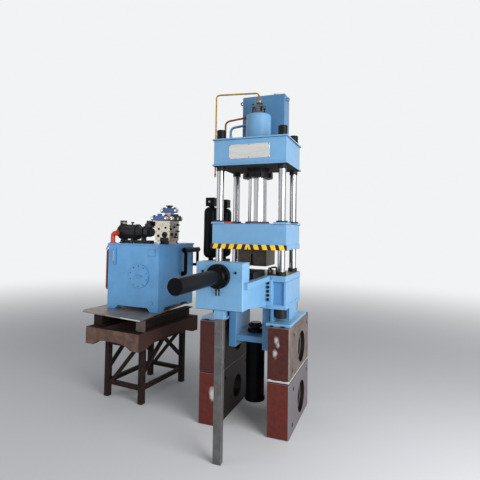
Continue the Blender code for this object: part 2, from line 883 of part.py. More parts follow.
def make_pipes(press, brass, red, blue, fitting_top):
    z = fitting_top + GAP
    run = z + BRASS_RISE + 0.045
    corners = ((0, 0, z), (0, 0, run), (BRASS_X, 0, run), (BRASS_X, 0, run - BRASS_LENGTH))
    pipe("brass_pipe", corners, BRASS_R, 0.045, press, brass)
    foot = CROWN_TOP + GAP
    for name, mat, x, y, radius, drop in (
        ("red_pipe", red, RED_PIPE_X, RED_PIPE_Y, RED_PIPE_R, RED_PIPE_DROP),
        ("blue_pipe", blue, BLUE_PIPE_X, BLUE_PIPE_Y, BLUE_PIPE_R, BLUE_PIPE_DROP),
    ):
        top = BARREL_TOP - drop
        reach = math.sqrt(BARREL_R**2 - (abs(y) - radius) ** 2)
        corners = ((-reach - GAP, y, top), (x, y, top), (x, y, foot + PIPE_FLANGE_H / 2))
        flange = rod(PIPE_FLANGE_R, foot, foot + PIPE_FLANGE_H, 12, "Z", (x, y, 0))
        obj = add_mesh(name, flange, press, mat)
        join(obj, swept(corners, radius))


def make_oil_box(press, blue, white):
    """The head tank at the back of the crown, with lifting rings and a cap."""
    z0 = CROWN_TOP + GAP
    z1 = z0 + OIL_BOX_H
    shape = box(OIL_BOX_X0, OIL_BOX_X1, OIL_BOX_Y0, OIL_BOX_Y1, z0, z1)
    obj = add_mesh("oil_box", chamfered(shape, OIL_BOX_CHAMFER), press, blue)
    for x, out in ((OIL_BOX_X0, -1), (OIL_BOX_X1, 1)):
        eye = (x + out * LUG_R * 0.8, OIL_BOX_Y0 + LUG_BACK, z1 - LUG_DROP)
        join(obj, rod(LUG_R, -LUG_T / 2, LUG_T / 2, 12, "Y", eye))
        cut(obj, rod(LUG_R * 0.5, -LUG_T, LUG_T, 8, "Y", eye))
    base = z1 + GAP
    profile = (
        (0, base),
        (CAP_R * 0.75, base),
        (CAP_R * 0.75, base + CAP_H * 0.4),
        (CAP_R, base + CAP_H * 0.45),
        (CAP_R, base + CAP_H * 0.9),
        (CAP_R * 0.8, base + CAP_H),
        (0, base + CAP_H),
    )
    at = (CAP_X, (OIL_BOX_Y0 + OIL_BOX_Y1) / 2, 0)
    add_mesh("oil_box_cap", turned(profile, 14, "Z", at), press, white)


def make_nameplate(press, silver):
    back = -CROWN_HALF_D - GAP
    z0 = CROWN_Z + PLATE_LIFT
    w = PLATE_HALF_W
    add_mesh("nameplate", box(-w, w, back - PLATE_T, back, z0, z0 + PLATE_H), press, silver)


def make_platen(press, blue, chrome, raw):
    """The moving platen with corner pads, guide bushes, ram and die block."""
    slide = empty("platen_axis", (0, 0, PLATEN_Z), parent=press)
    w, d, c = PLATEN_HALF_W, PLATEN_HALF_D, PLATEN_INSET
    z1 = PLATEN_H
    body = z1 - PAD_T
    shape = box(-w + c, w - c, -d + c, d - c, LAP, body)
    obj = add_mesh("platen", shape, slide, blue)
    join(obj, chamfered(box(-w, w, -d, d, 0, PLATEN_EDGE), EDGE))
    p, o = PAD_SIZE, PAD_OUT
    for sx, sy in ((-1, -1), (1, -1), (1, 1), (-1, 1)):
        x0, x1 = span(sx * (w + o), sx * (w + o - p))
        y0, y1 = span(sy * (d + o), sy * (d + o - p))
        join(obj, chamfered(box(x0, x1, y0, y1, body - LAP, z1), EDGE))
    join(obj, rod(RAM_FLANGE_R + 0.010, body - LAP, z1 - RAM_SEAT, 24))
    for x, y in column_places():
        join(obj, rod(BUSH_R, z1 - LAP, z1 + BUSH_H, COLUMN_SIDES, "Z", (x, y, 0)))
        bore = COLUMN_R + BUSH_CLEAR
        cut(obj, rod(bore, -0.02, z1 + BUSH_H + 0.02, COLUMN_SIDES, "Z", (x, y, 0)))
    low = z1 - RAM_SEAT + GAP
    r, f = RAM_R, RAM_FLANGE_R
    profile = (
        (0, low),
        (f, low),
        (f, low + RAM_FLANGE_H),
        (r, low + RAM_FLANGE_H),
        (r, low + RAM_LENGTH),
        (0, low + RAM_LENGTH),
    )
    add_mesh("ram", turned(profile, CYLINDER_SIDES), slide, chrome)
    w, d = DIE_HALF_W, DIE_HALF_D
    low = -GAP - DIE_H
    obj = add_mesh("die_block", chamfered(box(-w, w, -d, d, low, -GAP), EDGE), slide, raw)
    s = DIE_SLOT_W / 2
    cut(obj, box(-s, s, -d - OVER, -d + DIE_SLOT_D, low - OVER, low + DIE_H - DIE_SLOT_LIFT))
    cut(obj, rod(DIE_SPRUE_R, low - OVER, low + DIE_SPRUE_H, 16))


def make_bracket(press, blue):
    """An open-topped channel on the bed's front, closed by a thick end block."""
    w, t = BRACKET_HALF_W, BRACKET_WALL
    front, back = BRACKET_FRONT, BRACKET_BACK
    toe = TABLE_Z - END_BLOCK_BOTTOM
    root = TABLE_Z - BRACKET_ROOT_DROP
    block = front + END_BLOCK_D
    shape = box(-w, w, front, block, toe, TABLE_Z + END_BLOCK_TOP)
    obj = add_mesh("bracket", chamfered(shape, BRACKET_CHAMFER), press, blue)
    outline = (
        (front + 0.012, toe + 0.002),
        (block, toe + 0.002),
        (back, root),
        (back, TABLE_Z),
        (front + 0.012, TABLE_Z),
    )
    for side in (-1, 1):
        x0, x1 = span(side * (w - 0.001), side * (w - t))
        join(obj, prism(outline, x0, x1, "X"))
        x0, x1 = span(side * (w - t + 0.006), side * (w + RAIL_OUT))
        join(obj, box(x0, x1, front + RAIL_FRONT, back - 0.001, TABLE_Z - RAIL_H, TABLE_Z - 0.001))
    f = BRACKET_FLOOR_T
    floor = (
        (block - LAP, toe + 0.010),
        (back - 0.001, root + 0.010),
        (back - 0.001, root + 0.010 + f),
        (block - LAP, toe + 0.010 + f),
    )
    join(obj, prism(floor, -w + t - LAP, w - t + LAP, "X"))
    z0, z1 = TABLE_Z - BRACKET_FLANGE_BOTTOM, TABLE_Z - BRACKET_FLANGE_TOP
    for side in (-1, 1):
        x0, x1 = span(side * (w - 0.006), side * (BED_PAD_HALF_W - 0.003))
        join(obj, box(x0, x1, back - BRACKET_FLANGE_T, back - 0.0005, z0, z1))
    tab_y = PROP_Y
    tab = box(-TAB_W / 2, TAB_W / 2, tab_y - TAB_D / 2, tab_y + TAB_D / 2, PROP_TOP + GAP, toe + LAP)
    join(obj, tab)
    bore = SIDE_ROD_R + RUN_CLEAR
    cut(obj, rod(bore, front - OVER, block + OVER, 16, "Y", (0, 0, SIDE_AXIS_Z)))


def make_prop(press, raw):
    """Two lengths of square tube, butt welded, from the floor to the bracket."""
    x, y, w = PROP_W / 2, PROP_D / 2, PROP_WALL
    b = PROP_BEAD
    obj = add_mesh("prop_post", box(-x, x, PROP_Y - y, PROP_Y + y, 0, PROP_TOP), press, raw)
    z0 = PROP_JOINT
    bead = box(-x - b, x + b, PROP_Y - y - b, PROP_Y + y + b, z0, z0 + PROP_BEAD_H)
    join(obj, chamfered(bead, b * 0.9))
    cut(obj, box(-x + w, x - w, PROP_Y - y + w, PROP_Y + y - w, -OVER, PROP_TOP - PROP_CAP_T))


def make_side_cylinder(press, black):
    """The black cylinder on the end block, open at its gland for the rod."""
    y1 = BRACKET_FRONT - GAP
    y0 = y1 - SIDE_FLANGE_T
    end = y1 - SIDE_LENGTH
    bore = SIDE_ROD_R + RUN_CLEAR
    c = 0.004
    profile = (
        (0, end),
        (SIDE_BARREL_R - c, end),
        (SIDE_BARREL_R, end + c),
        (SIDE_BARREL_R, y0 - 0.012),
        (SIDE_BARREL_R + 0.012, y0),
        (SIDE_FLANGE_R - c, y0),
        (SIDE_FLANGE_R, y0 + c),
        (SIDE_FLANGE_R, y1),
        (bore, y1),
        (bore, end + SIDE_CAP_T),
        (0, end + SIDE_CAP_T),
    )
    at = (0, 0, SIDE_AXIS_Z)
    obj = add_mesh("side_cylinder", turned(profile, BARREL_SIDES, "Y", at), press, black)
    mid = (y0 + y1) / 2
    low = SIDE_AXIS_Z - SIDE_FLANGE_R - PORT_DROP
    for x in (-PORT_X, PORT_X):
        join(obj, rod(PORT_R, low, SIDE_AXIS_Z - SIDE_FLANGE_R + 0.012, 8, "Z", (x, mid, 0)))


def make_carriage(press, black, chrome):
    """The die carriage on the bracket's ways, with the rod that drives it."""
    slide = empty("carriage_axis", (0, CARRIAGE_REAR, TABLE_Z), parent=press)
    w, h, length = CARRIAGE_HALF_W, CARRIAGE_H, CARRIAGE_LENGTH
    obj = add_mesh(
        "carriage", chamfered(box(-w, w, -length, 0, GAP, GAP + h), EDGE), slide, black
    )
    s = CARRIAGE_SLOT_W / 2
    for x in (-w * 0.55, w * 0.55):
        slot = box(x - s, x + s, -length - OVER, OVER, GAP + h - CARRIAGE_SLOT_D, GAP + h + OVER)
        cut(obj, slot)
    axis = SIDE_AXIS_RISE
    neck = -length - GAP
    r = SIDE_ROD_R
    end = CARRIAGE_ROD_END - CARRIAGE_REAR
    profile = (
        (0, end),
        (r - 0.003, end),
        (r, end + 0.003),
        (r, neck - CARRIAGE_HEAD_T),
        (CARRIAGE_HEAD_R, neck - CARRIAGE_HEAD_T),
        (CARRIAGE_HEAD_R, neck),
        (0, neck),
    )
    add_mesh("carriage_rod", turned(profile, 16, "Y", (0, 0, axis)), slide, chrome)


def make_shot_end(press, blue, black):
    """The frame hung under the bed, its shot cylinder and the rod's coupling."""
    top = FLANGE_Z - GAP
    a, b, d, t = SHOT_LEG_IN, SHOT_LEG_OUT, SHOT_HALF_D, SHOT_WALL
    channel = ((a, -d), (b, -d), (b, -d + t), (a + t, -d + t), (a + t, d - t), (b, d - t), (b, d), (a, d))
    obj = add_mesh("shot_frame", prism(channel, SHOT_BOTTOM, top), press, blue)
    join(obj, prism([(-x, y) for x, y in channel], SHOT_BOTTOM, top))
    z0, z1 = SHOT_BAR_Z, SHOT_BAR_Z + SHOT_BAR_H
    join(obj, box(-a - t / 2, a + t / 2, -d + 0.004, d - 0.004, z0, z1))
    bore = SHOT_ROD_R + RUN_CLEAR
    cut(obj, rod(bore, z0 - OVER, z1 + OVER, SHOT_SIDES))
    z1 = SHOT_BAR_Z - GAP
    z0 = SHOT_BASE_Z
    r, f, c = SHOT_R, SHOT_FLANGE_R, 0.004
    profile = (
        (0, z0),
        (r + 0.008, z0),
        (r + 0.008, z0 + SHOT_FOOT_H),
        (r, z0 + SHOT_FOOT_H),
        (r, z1 - SHOT_FLANGE_H),
        (f - c, z1 - SHOT_FLANGE_H),
        (f, z1 - SHOT_FLANGE_H + c),
        (f, z1),
        (bore, z1),
        (bore, z0 + 0.050),
        (0, z0 + 0.050),
    )
    add_mesh("shot_cylinder", turned(profile, SHOT_SIDES), press, black)
    seat = SHOT_BAR_Z + SHOT_BAR_H
    slide = empty("shot_axis", (0, 0, seat), parent=press)
    r, waist, cap = COUPLING_R, COUPLING_WAIST_R, COUPLING_TOP_R
    h = COUPLING_H
    profile = (
        (0, -SHOT_ROD_LENGTH),
        (SHOT_ROD_R, -SHOT_ROD_LENGTH),
        (SHOT_ROD_R, GAP),
        (r, GAP),
        (r, h * 0.34),
        (r - 0.006, h * 0.40),
        (waist, h * 0.44),
        (waist, h * 0.54),
        (r * 0.92, h * 0.58),
        (r * 0.92, h * 0.82),
        (cap, h * 0.86),
        (cap, h),
        (0, h),
    )
    add_mesh("shot_coupling", turned(profile, SHOT_SIDES), slide, black)


def bottle_profile(z0, z1):
    """A gas bottle: a neck at each end and round shoulders."""
    r, n, crown = BOTTLE_R, BOTTLE_NECK_R, BOTTLE_CROWN_H
    steps = 4
    profile = [(0, z0 - BOTTLE_FOOT_H), (n, z0 - BOTTLE_FOOT_H), (n, z0 + LAP)]
    for i in range(1, steps + 1):
        a = math.radians(90 * i / steps)
        profile.append((n + (r - n) * math.sin(a), z0 + LAP + crown * (1 - math.cos(a))))
    for i in range(steps):
        a = math.radians(90 * i / steps)
        profile.append((n + (r - n) * math.cos(a), z1 - LAP - crown * (1 - math.sin(a))))
    profile += [(n, z1 - LAP), (n, z1 + BOTTLE_NECK_H), (0, z1 + BOTTLE_NECK_H)]
    return profile


def make_accumulators(press, black):
    """Two gas bottles on a manifold, carried by an arm from the bed's side."""
    z1 = BOTTLE_TOP
    h = HEAD_SIZE / 2
    x0, y0, x1, y1 = BOTTLE_FRONT_X, BOTTLE_FRONT_Y, BOTTLE_REAR_X, BOTTLE_REAR_Y
    profile = bottle_profile(BOTTLE_BOTTOM, z1)
    for x, y, name in ((x0, y0, "front"), (x1, y1, "rear")):
        obj = add_mesh("accumulator_" + name, turned(profile, COLUMN_SIDES, "Z", (x, y, 0)), press, black)
        low = z1 + BOTTLE_NECK_H / 2
        head = box(x - h, x + h, y - h, y + h, low, low + HEAD_H)
        join(obj, chamfered(head, EDGE))
    m = MANIFOLD_W / 2
    top = BOTTLE_BOTTOM - BOTTLE_FOOT_H - GAP
    outline = (
        (x0 - m, y0 - MANIFOLD_LAP),
        (x0 + m, y0 - MANIFOLD_LAP),
        (x1 + m, y1 + MANIFOLD_LAP),
        (x1 - m, y1 + MANIFOLD_LAP),
    )
    low = top - MANIFOLD_H
    obj = add_mesh("accumulator_manifold", prism(outline, low, top), press, black)
    wall = -BED_HALF_W - GAP
    arm_top = low + LAP
    join(obj, box(x0 - m + ARM_T, wall, ARM_Y0, y0 + h, arm_top - ARM_T, arm_top))
    web = ((wall, arm_top), (wall, arm_top - ARM_H), (x0 + m, arm_top - ARM_T * 1.2), (x0 + m, arm_top))
    mid = (ARM_Y0 + ARM_Y1) / 2
    join(obj, prism(web, mid - ARM_T / 2, mid + ARM_T / 2, "Y"))
    edge = ARM_T / 2
    join(obj, box(wall - ARM_T, wall, ARM_Y0 - edge, ARM_Y1 + edge, arm_top - ARM_H - ARM_T, arm_top))


def make_tank(unit, blue, silver):
    """The oil tank on its skirt feet, its lid, covers and level gauge."""
    w, d = TANK_W / 2, TANK_D / 2
    z0, z1 = TANK_Z, TANK_Z + TANK_H
    obj = add_mesh("tank", chamfered(box(-w, w, -d, d, z0, z1), EDGE), unit, blue)
    for half, reach, axis in ((w, d, "Y"), (d, w, "X")):
        a = half - TANK_FOOT_IN
        b = a - TANK_FOOT_SLOPE
        outline = ((-a, z0 - OVER), (a, z0 - OVER), (b, z0 + TANK_FOOT_H), (-b, z0 + TANK_FOOT_H))
        cut(obj, prism(outline, -reach - OVER, reach + OVER, axis))
    x, z = w - SMALL_COVER_IN, z1 - SMALL_COVER_DROP
    join(obj, rod(DRAIN_R, -d - 0.012, -d + 0.010, 14, "Y", (x, 0, z0 + DRAIN_RISE)))
    sw, sh = SMALL_COVER_W / 2, SMALL_COVER_H / 2
    join(obj, chamfered(box(x - sw, x + sw, -d - 0.010, -d + 0.006, z - sh, z + sh), EDGE))
    out = LID_OUT
    lid = chamfered(box(-w - out, w + out, -d - out, d + out, LID_Z, LID_TOP), 0.002)
    add_mesh("tank_lid", lid, unit, blue)
    face = -d - GAP
    x, z = w - COVER_IN, z1 - COVER_DROP
    profile = (
        (0, face - COVER_T),
        (COVER_R - 0.004, face - COVER_T),
        (COVER_R, face - COVER_T + 0.004),
        (COVER_R, face),
        (0, face),
    )
    cover = turned(profile, CYLINDER_SIDES, "Y", (x, 0, z))
    obj = add_mesh("inspection_cover", cover, unit, blue)
    hw, hh, out = HANDLE_W / 2, HANDLE_H / 2, face - COVER_T - HANDLE_OUT
    for x0, x1 in ((x - hw, x - hw + HANDLE_H), (x + hw - HANDLE_H, x + hw)):
        join(obj, box(x0, x1, out, face - COVER_T + LAP, z - hh, z + hh))
    join(obj, box(x - hw, x + hw, out, out + HANDLE_H, z - hh, z + hh))
    x, z = GAUGE_IN - w, z1 - GAUGE_DROP
    gw, gh = GAUGE_W / 2, GAUGE_H / 2
    gauge = box(x - gw, x + gw, face - GAUGE_T, face, z - gh, z + gh)
    obj = add_mesh("level_gauge", chamfered(gauge, EDGE), unit, silver)
    sw, sh = GAUGE_SLOT / 2, gh - GAUGE_END
    cut(obj, box(x - sw, x + sw, face - GAUGE_T - OVER, face - GAUGE_T / 2, z - sh, z + sh))


def make_motor(unit, black):
    """The finned motor, lying along the lid."""
    base = LID_TOP + GAP
    z = base + MOTOR_RISE
    x0, x1 = MOTOR_X0, MOTOR_X0 + MOTOR_LENGTH
    at = (0, MOTOR_Y, z)
    r, core = MOTOR_R, MOTOR_R - MOTOR_FIN_H
    cowl, shield = x0 + MOTOR_COWL, x1 - MOTOR_SHIELD
    profile = (
        (0, x0),
        (r * 0.80, x0),
        (r, x0 + MOTOR_COWL / 2),
        (r, cowl - LAP),
        (core, cowl - LAP),
        (core, shield),
        (r, shield),
        (r, x1),
        (0, x1),
    )
    obj = add_mesh("motor", turned(profile, 18, "X", at), unit, black)
    half = MOTOR_FIN_T / 2
    for i in range(MOTOR_FINS):
        a = math.radians(-60 + 300 * i / (MOTOR_FINS - 1))
        fin = box(cowl - LAP * 2, shield + LAP, -half, half, core - LAP, r - GAP * 2)
        bmesh.ops.transform(fin, verts=fin.verts, matrix=Matrix.Rotation(a - math.radians(90), 4, "X"))
        bmesh.ops.translate(fin, verts=fin.verts, vec=at)
        join(obj, fin)
    foot, leg = MOTOR_FOOT_W / 2, MOTOR_FOOT_W * 0.35
    f, g = MOTOR_FOOT_L / 2, MOTOR_LEG_L / 2
    for x in (x0 + MOTOR_FOOT_IN, x1 - MOTOR_FOOT_IN):
        join(obj, box(x - f, x + f, MOTOR_Y - foot, MOTOR_Y + foot, base, base + MOTOR_FOOT_T))
        join(obj, box(x - g, x + g, MOTOR_Y - leg, MOTOR_Y + leg, base + MOTOR_FOOT_T - LAP, z - r * 0.6))
    t = TERMINAL_W / 2
    mid = x0 + TERMINAL_IN
    term = box(mid - t, mid + t, MOTOR_Y - t, MOTOR_Y + t, z + r * 0.8, z + r + TERMINAL_H)
    join(obj, chamfered(term, EDGE))


def make_pump(unit, black):
    """The bell housing on the motor's end, with the pump behind it."""
    base = LID_TOP + GAP
    z = base + MOTOR_RISE
    x0 = MOTOR_X0 + MOTOR_LENGTH + GAP
    x1 = x0 + BELL_LENGTH
    x2 = x1 + PUMP_LENGTH
    b, p, rim = BELL_R, PUMP_R, BELL_RIM
    profile = (
        (0, x0),
        (b, x0),
        (b, x0 + rim),
        (b * 0.86, x0 + rim * 2),
        (b * 0.78, x1 - rim),
        (b * 0.90, x1 - rim * 0.7),
        (b * 0.90, x1),
        (p, x1 + EDGE),
        (p, x2 - rim * 2),
        (p * 0.82, x2 - rim * 1.7),
        (p * 0.82, x2),
        (0, x2),
    )
    obj = add_mesh("pump", turned(profile, 14, "X", (0, MOTOR_Y, z)), unit, black)
    half, x = BELL_FOOT_W / 2, x1 - BELL_FOOT_IN
    join(obj, box(x - BELL_FOOT_T / 2, x + BELL_FOOT_T / 2, MOTOR_Y - half, MOTOR_Y + half, base, z - b * 0.5))


def make_valve_block(unit, silver, black):
    """The drilled manifold block and the valves stacked on it."""
    base = LID_TOP + GAP
    x, y = BLOCK_X, BLOCK_Y
    w, d = BLOCK_W / 2, BLOCK_D / 2
    z0 = base + BLOCK_BASE_H
    z1 = z0 + BLOCK_H
    shape = chamfered(box(x - w, x + w, y - d, y + d, z0, z1), EDGE)
    obj = add_mesh("valve_block", shape, unit, silver)
    join(obj, box(x - w * 0.8, x + w * 0.8, y - d * 0.8, y + d * 0.8, base, z0 + LAP))
    face = y - d
    for px, pz, pr in FRONT_PORTS:
        cut(obj, rod(pr, face - OVER, face + PORT_DEPTH, 10, "Y", (x + px, 0, z0 + pz)))
    for py, pz, pr in SIDE_PORTS:
        edge = x + w
        cut(obj, rod(pr, edge - PORT_DEPTH, edge + OVER, 10, "X", (0, y + py, z0 + pz)))
    rx, ry = x + RISER_X, y + RISER_Y
    rw, rd = RISER_W / 2, RISER_D / 2
    join(obj, box(rx - rw, rx + rw, ry - rd, ry + rd, z1 - LAP, z1 + RISER_H))
    spool_valve("valve_lower", unit, black, x + VALVE_LOW_X, y + VALVE_LOW_Y, z1 + GAP, "X")
    spool_valve("valve_side", unit, black, x + VALVE_SIDE_X, y + VALVE_SIDE_Y, z1 + GAP, "Y")
    spool_valve("valve_upper", unit, black, rx, ry, z1 + RISER_H + GAP, "X")


def spool_valve(name, unit, black, x, y, base, axis):
    """A valve body between two round coils, with a square plug on top."""
    half, deep, reach, plug = VALVE_BODY_L / 2, VALVE_D / 2, VALVE_LENGTH / 2, PLUG_W / 2
    along, across = (half, deep) if axis == "X" else (deep, half)
    body = box(x - along, x + along, y - across, y + across, base, base + SPOOL_H)
    valve = add_mesh(name, chamfered(body, EDGE), unit, black)
    mid = base + SPOOL_H / 2
    centre, at = (x, (0, y, mid)) if axis == "X" else (y, (x, 0, mid))
    join(valve, rod(SOLENOID_R, centre - reach, centre + reach, 12, axis, at))
    join(valve, box(x - plug, x + plug, y - plug, y + plug, base + SPOOL_H - LAP, base + SPOOL_H + PLUG_H))


def make_elbow(unit, red):
    """The capped elbow at the lid's front left corner."""
    base = LID_TOP + GAP
    x, y, r = ELBOW_IN - TANK_W / 2, ELBOW_IN - TANK_D / 2, ELBOW_R
    rise, reach, rim = base + ELBOW_RISE, x + ELBOW_REACH, r + ELBOW_FLANGE
    obj = add_mesh("suction_elbow", rod(rim, base, base + ELBOW_FLANGE, 14, "Z", (x, y, 0)), unit, red)
    join(obj, swept(((x, y, base + LAP), (x, y, rise), (reach, y, rise)), r, r * 1.4, 10, 4))
    join(obj, rod(rim, reach - LAP, reach + ELBOW_FLANGE, 14, "X", (0, y, rise)))


def make_return_filter(unit, black):
    """The filter lying along the tank's right side, piped into the side and the rear wall."""
    wall, back = TANK_W / 2 + GAP, TANK_D / 2 + GAP
    top = TANK_Z + TANK_H
    x, z = wall + FILTER_OUT, top - FILTER_DROP
    behind = back + RETURN_BEHIND
    y0 = FILTER_START - TANK_D / 2
    y1 = behind + RETURN_R * 1.3
    obj = add_mesh("return_filter", rod(FILTER_R, y0, y1, 12, "Y", (x, 0, z)), unit, black)
    y, low = y0 + FILTER_LEG_R * 2, top - FILTER_LEG_DROP
    start = z - FILTER_R / 2
    leg = ((x, y, start), (x, y, low), (wall + LAP, y, low))
    join(obj, swept(leg, FILTER_LEG_R, FILTER_LEG_R * 1.5, PIPE_SIDES, 4))
    join(obj, rod(FILTER_LEG_R * 1.6, wall, wall + PIPE_BOSS_H, 14, "X", (0, y, low)))
    low, inner = top - RETURN_DROP, wall - RETURN_IN
    leg = ((x, behind, start), (x, behind, low), (inner, behind, low), (inner, back + LAP, low))
    join(obj, swept(leg, RETURN_R, RETURN_R * 1.2, PIPE_SIDES, 3))
    join(obj, rod(RETURN_R * 1.6, back, back + PIPE_BOSS_H, 12, "Y", (inner, 0, low)))


def make_side_pipe(unit, red):
    """The pipe at the tank's left side, between two bosses on its wall."""
    wall = -TANK_W / 2 - GAP
    x, y = wall - SIDE_PIPE_OUT, SIDE_PIPE_IN - TANK_D / 2
    z0, z1 = TANK_Z + SIDE_PIPE_RISE, TANK_Z + TANK_H - SIDE_PIPE_DROP
    boss = SIDE_PIPE_R * 1.5
    obj = add_mesh("side_pipe", rod(boss, wall - PIPE_BOSS_H, wall, 12, "X", (0, y, z0)), unit, red)
    join(obj, rod(boss, wall - PIPE_BOSS_H, wall, 12, "X", (0, y, z1)))
    inner = wall - LAP
    route = ((inner, y, z0), (x, y, z0), (x, y, z1), (inner, y, z1))
    join(obj, swept(route, SIDE_PIPE_R, SIDE_PIPE_R * 1.4, PIPE_SIDES, 3))


def make_breather(unit, white):
    """The low white cap at the lid's front right corner."""
    base = LID_TOP + GAP
    x, y = TANK_W / 2 - BREATHER_IN, BREATHER_IN - TANK_D / 2
    r, h = BREATHER_R, BREATHER_H
    profile = (
        (0, base),
        (r * 0.6, base),
        (r * 0.6, base + h * 0.35),
        (r, base + h * 0.4),
        (r, base + h * 0.9),
        (r * 0.85, base + h),
        (0, base + h),
    )
    add_mesh("breather", turned(profile, 14, "Z", (x, y, 0)), unit, white)


def make_deck(press, trestle, rust, dark):
    """The rough deck plate on two lengths of H-section."""
    add_mesh("deck_plate", prism(DECK_OUTLINE, DECK_Z, DECK_Z + DECK_T), press, dark)
    z0 = TRESTLE_TOP + GAP
    h, w, f = SPACER_H, SPACER_W / 2, SPACER_FLANGE
    section = (
        (-w, 0), (w, 0), (w, f), (f / 2, f), (f / 2, h - f), (w, h - f),
        (w, h), (-w, h), (-w, h - f), (-f / 2, h - f), (-f / 2, f), (-w, f),
    )
    for x, name in zip(SPACER_X, ("left", "right")):
        outline = [(x + u, z0 + v) for u, v in section]
        shape = prism(outline, SPACER_FRONT, SPACER_FRONT + SPACER_LENGTH, "Y")
        add_mesh("spacer_" + name, shape, trestle, rust)


def arched_beam(half):
    """The side view of a beam that is deep at its ends and arched between."""
    top, low, mid = TRESTLE_TOP, TRESTLE_TOP - BEAM_H, TRESTLE_TOP - BEAM_MID_H
    a = half - BEAM_ARCH_END
    outline = [(-half, top), (-half, low), (-a, low)]
    for i in range(1, 8):
        u = -a + 2 * a * i / 8
        outline.append((u, low + (mid - low) * math.sin(math.pi * i / 8) ** 0.5))
    return outline + [(a, low), (half, low), (half, top)]


def make_trestle(trestle, rust):
    """The rusty welded trestle: an arched top frame on braced legs."""
    w, d, t = TRESTLE_HALF_W, TRESTLE_HALF_D, BEAM_T
    obj = add_mesh("trestle_top", prism(arched_beam(w), -d, -d + t, "Y"), trestle, rust)
    join(obj, prism(arched_beam(w), d - t, d, "Y"))
    join(obj, prism(arched_beam(d - 0.001), -w + 0.001, -w + t, "X"))
    join(obj, prism(arched_beam(d - 0.001), w - t, w - 0.001, "X"))
    low = TRESTLE_TOP - BEAM_MID_H
    for x in LEG_X:
        rail = box(x - t / 2, x + t / 2, -d + t - LAP, d - t + LAP, low, TRESTLE_TOP - 0.001)
        join(obj, rail)
    s = LEG_SIZE / 2
    top = low - GAP
    z0, z1 = LOW_RAIL_Z, LOW_RAIL_Z + LOW_RAIL_H
    y0, y1 = LEG_Y
    mid = (y0 + y1) / 2
    k, b = LOW_RAIL_T / 2, BRACE_SIZE
    foot = BRACE_RISE
    for x, name in zip(LEG_X, ("left", "right")):
        obj = add_mesh("trestle_" + name, box(x - s, x + s, y0 - s, y0 + s, 0, top), trestle, rust)
        join(obj, box(x - k, x + k, y0, y1, z0, z1))
        join(obj, box(x - s, x + s, y1 - s, y1 + s, 0, top))
        join(obj, bar((x, y0, foot), (x, mid, top - b), b, b))
        join(obj, bar((x, y1, foot), (x, mid, top - b), b, b))
        join(obj, box(x - s, x + s, y0, y1, top - 0.050, top))
    x0, x1 = LEG_X
    inner0, inner1 = x0 + s + GAP, x1 - s - GAP
    for y, name in zip(LEG_Y, ("front", "rear")):
        obj = add_mesh("trestle_" + name, box(inner0, inner1, y - k, y + k, z0, z1), trestle, rust)
        lean = bar((inner0 + b, y, z1 - OVER), (inner1 - b, y, top - 0.070), b, b)
        join(obj, lean)
        join(obj, box(inner0, inner1, y - k, y + k, top - 0.090, top - 0.040))


def main():
    clear_scene()
    blue = paint("blue_paint", (0.155, 0.393, 0.694), 0.38)
    chrome = paint("hard_chrome", (0.80, 0.81, 0.82), 0.12, 1.0)
    black = paint("black_oxide", (0.018, 0.018, 0.020), 0.42, 0.3)
    grey = paint("zinc_grey", (0.32, 0.33, 0.33), 0.40, 0.8)
    silver = paint("brushed_aluminium", (0.62, 0.63, 0.64), 0.34, 1.0)
    brass = paint("brass", (0.78, 0.52, 0.16), 0.28, 1.0)
    red = paint("dark_red_paint", (0.30, 0.025, 0.020), 0.45)
    white = paint("white_plastic", (0.78, 0.78, 0.76), 0.50)
    primer = paint("primer_on_steel", (0.125, 0.055, 0.042), 0.70, 0.2)
    raw = paint("raw_steel", (0.17, 0.155, 0.14), 0.50, 0.7)
    rust = paint("rusty_steel", (0.060, 0.038, 0.028), 0.85, 0.1)
    press = empty("press_frame", (PRESS_X, PRESS_Y, 0))
    unit = empty("unit_frame", (UNIT_X, UNIT_Y, 0), UNIT_YAW, press)
    trestle = empty("trestle_frame", (TRESTLE_X, TRESTLE_Y, 0), TRESTLE_YAW, press)
    make_stands(press, primer)
    make_bed(press, blue)
    make_columns(press, chrome, black)
    make_crown(press, blue)
    make_main_cylinder(press, blue, black)
    fitting_top = make_prefill(press, grey)
    make_pipes(press, brass, red, blue, fitting_top)
    make_oil_box(press, blue, white)
    make_nameplate(press, silver)
    make_platen(press, blue, chrome, raw)
    make_bracket(press, blue)
    make_prop(press, raw)
    make_side_cylinder(press, black)
    make_carriage(press, black, chrome)
    make_shot_end(press, blue, black)
    make_accumulators(press, black)
    make_tank(unit, blue, silver)
    make_motor(unit, black)
    make_pump(unit, black)
    make_valve_block(unit, silver, black)
    make_elbow(unit, red)
    make_return_filter(unit, black)
    make_side_pipe(unit, red)
    make_breather(unit, white)
    make_deck(press, trestle, rust, rust)
    make_trestle(trestle, rust)
    bpy.context.view_layer.update()


main()
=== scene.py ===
"""The looks of a four-column vertical die casting press and its hydraulic power unit.

Laid out as a Blender add-on and run as a script: one operator for each group of pieces,
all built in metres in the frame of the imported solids, which are never moved or changed.
"""

import math

import bmesh
import bpy
from bpy.props import FloatProperty, FloatVectorProperty, IntProperty, PointerProperty
from mathutils import Matrix, Vector


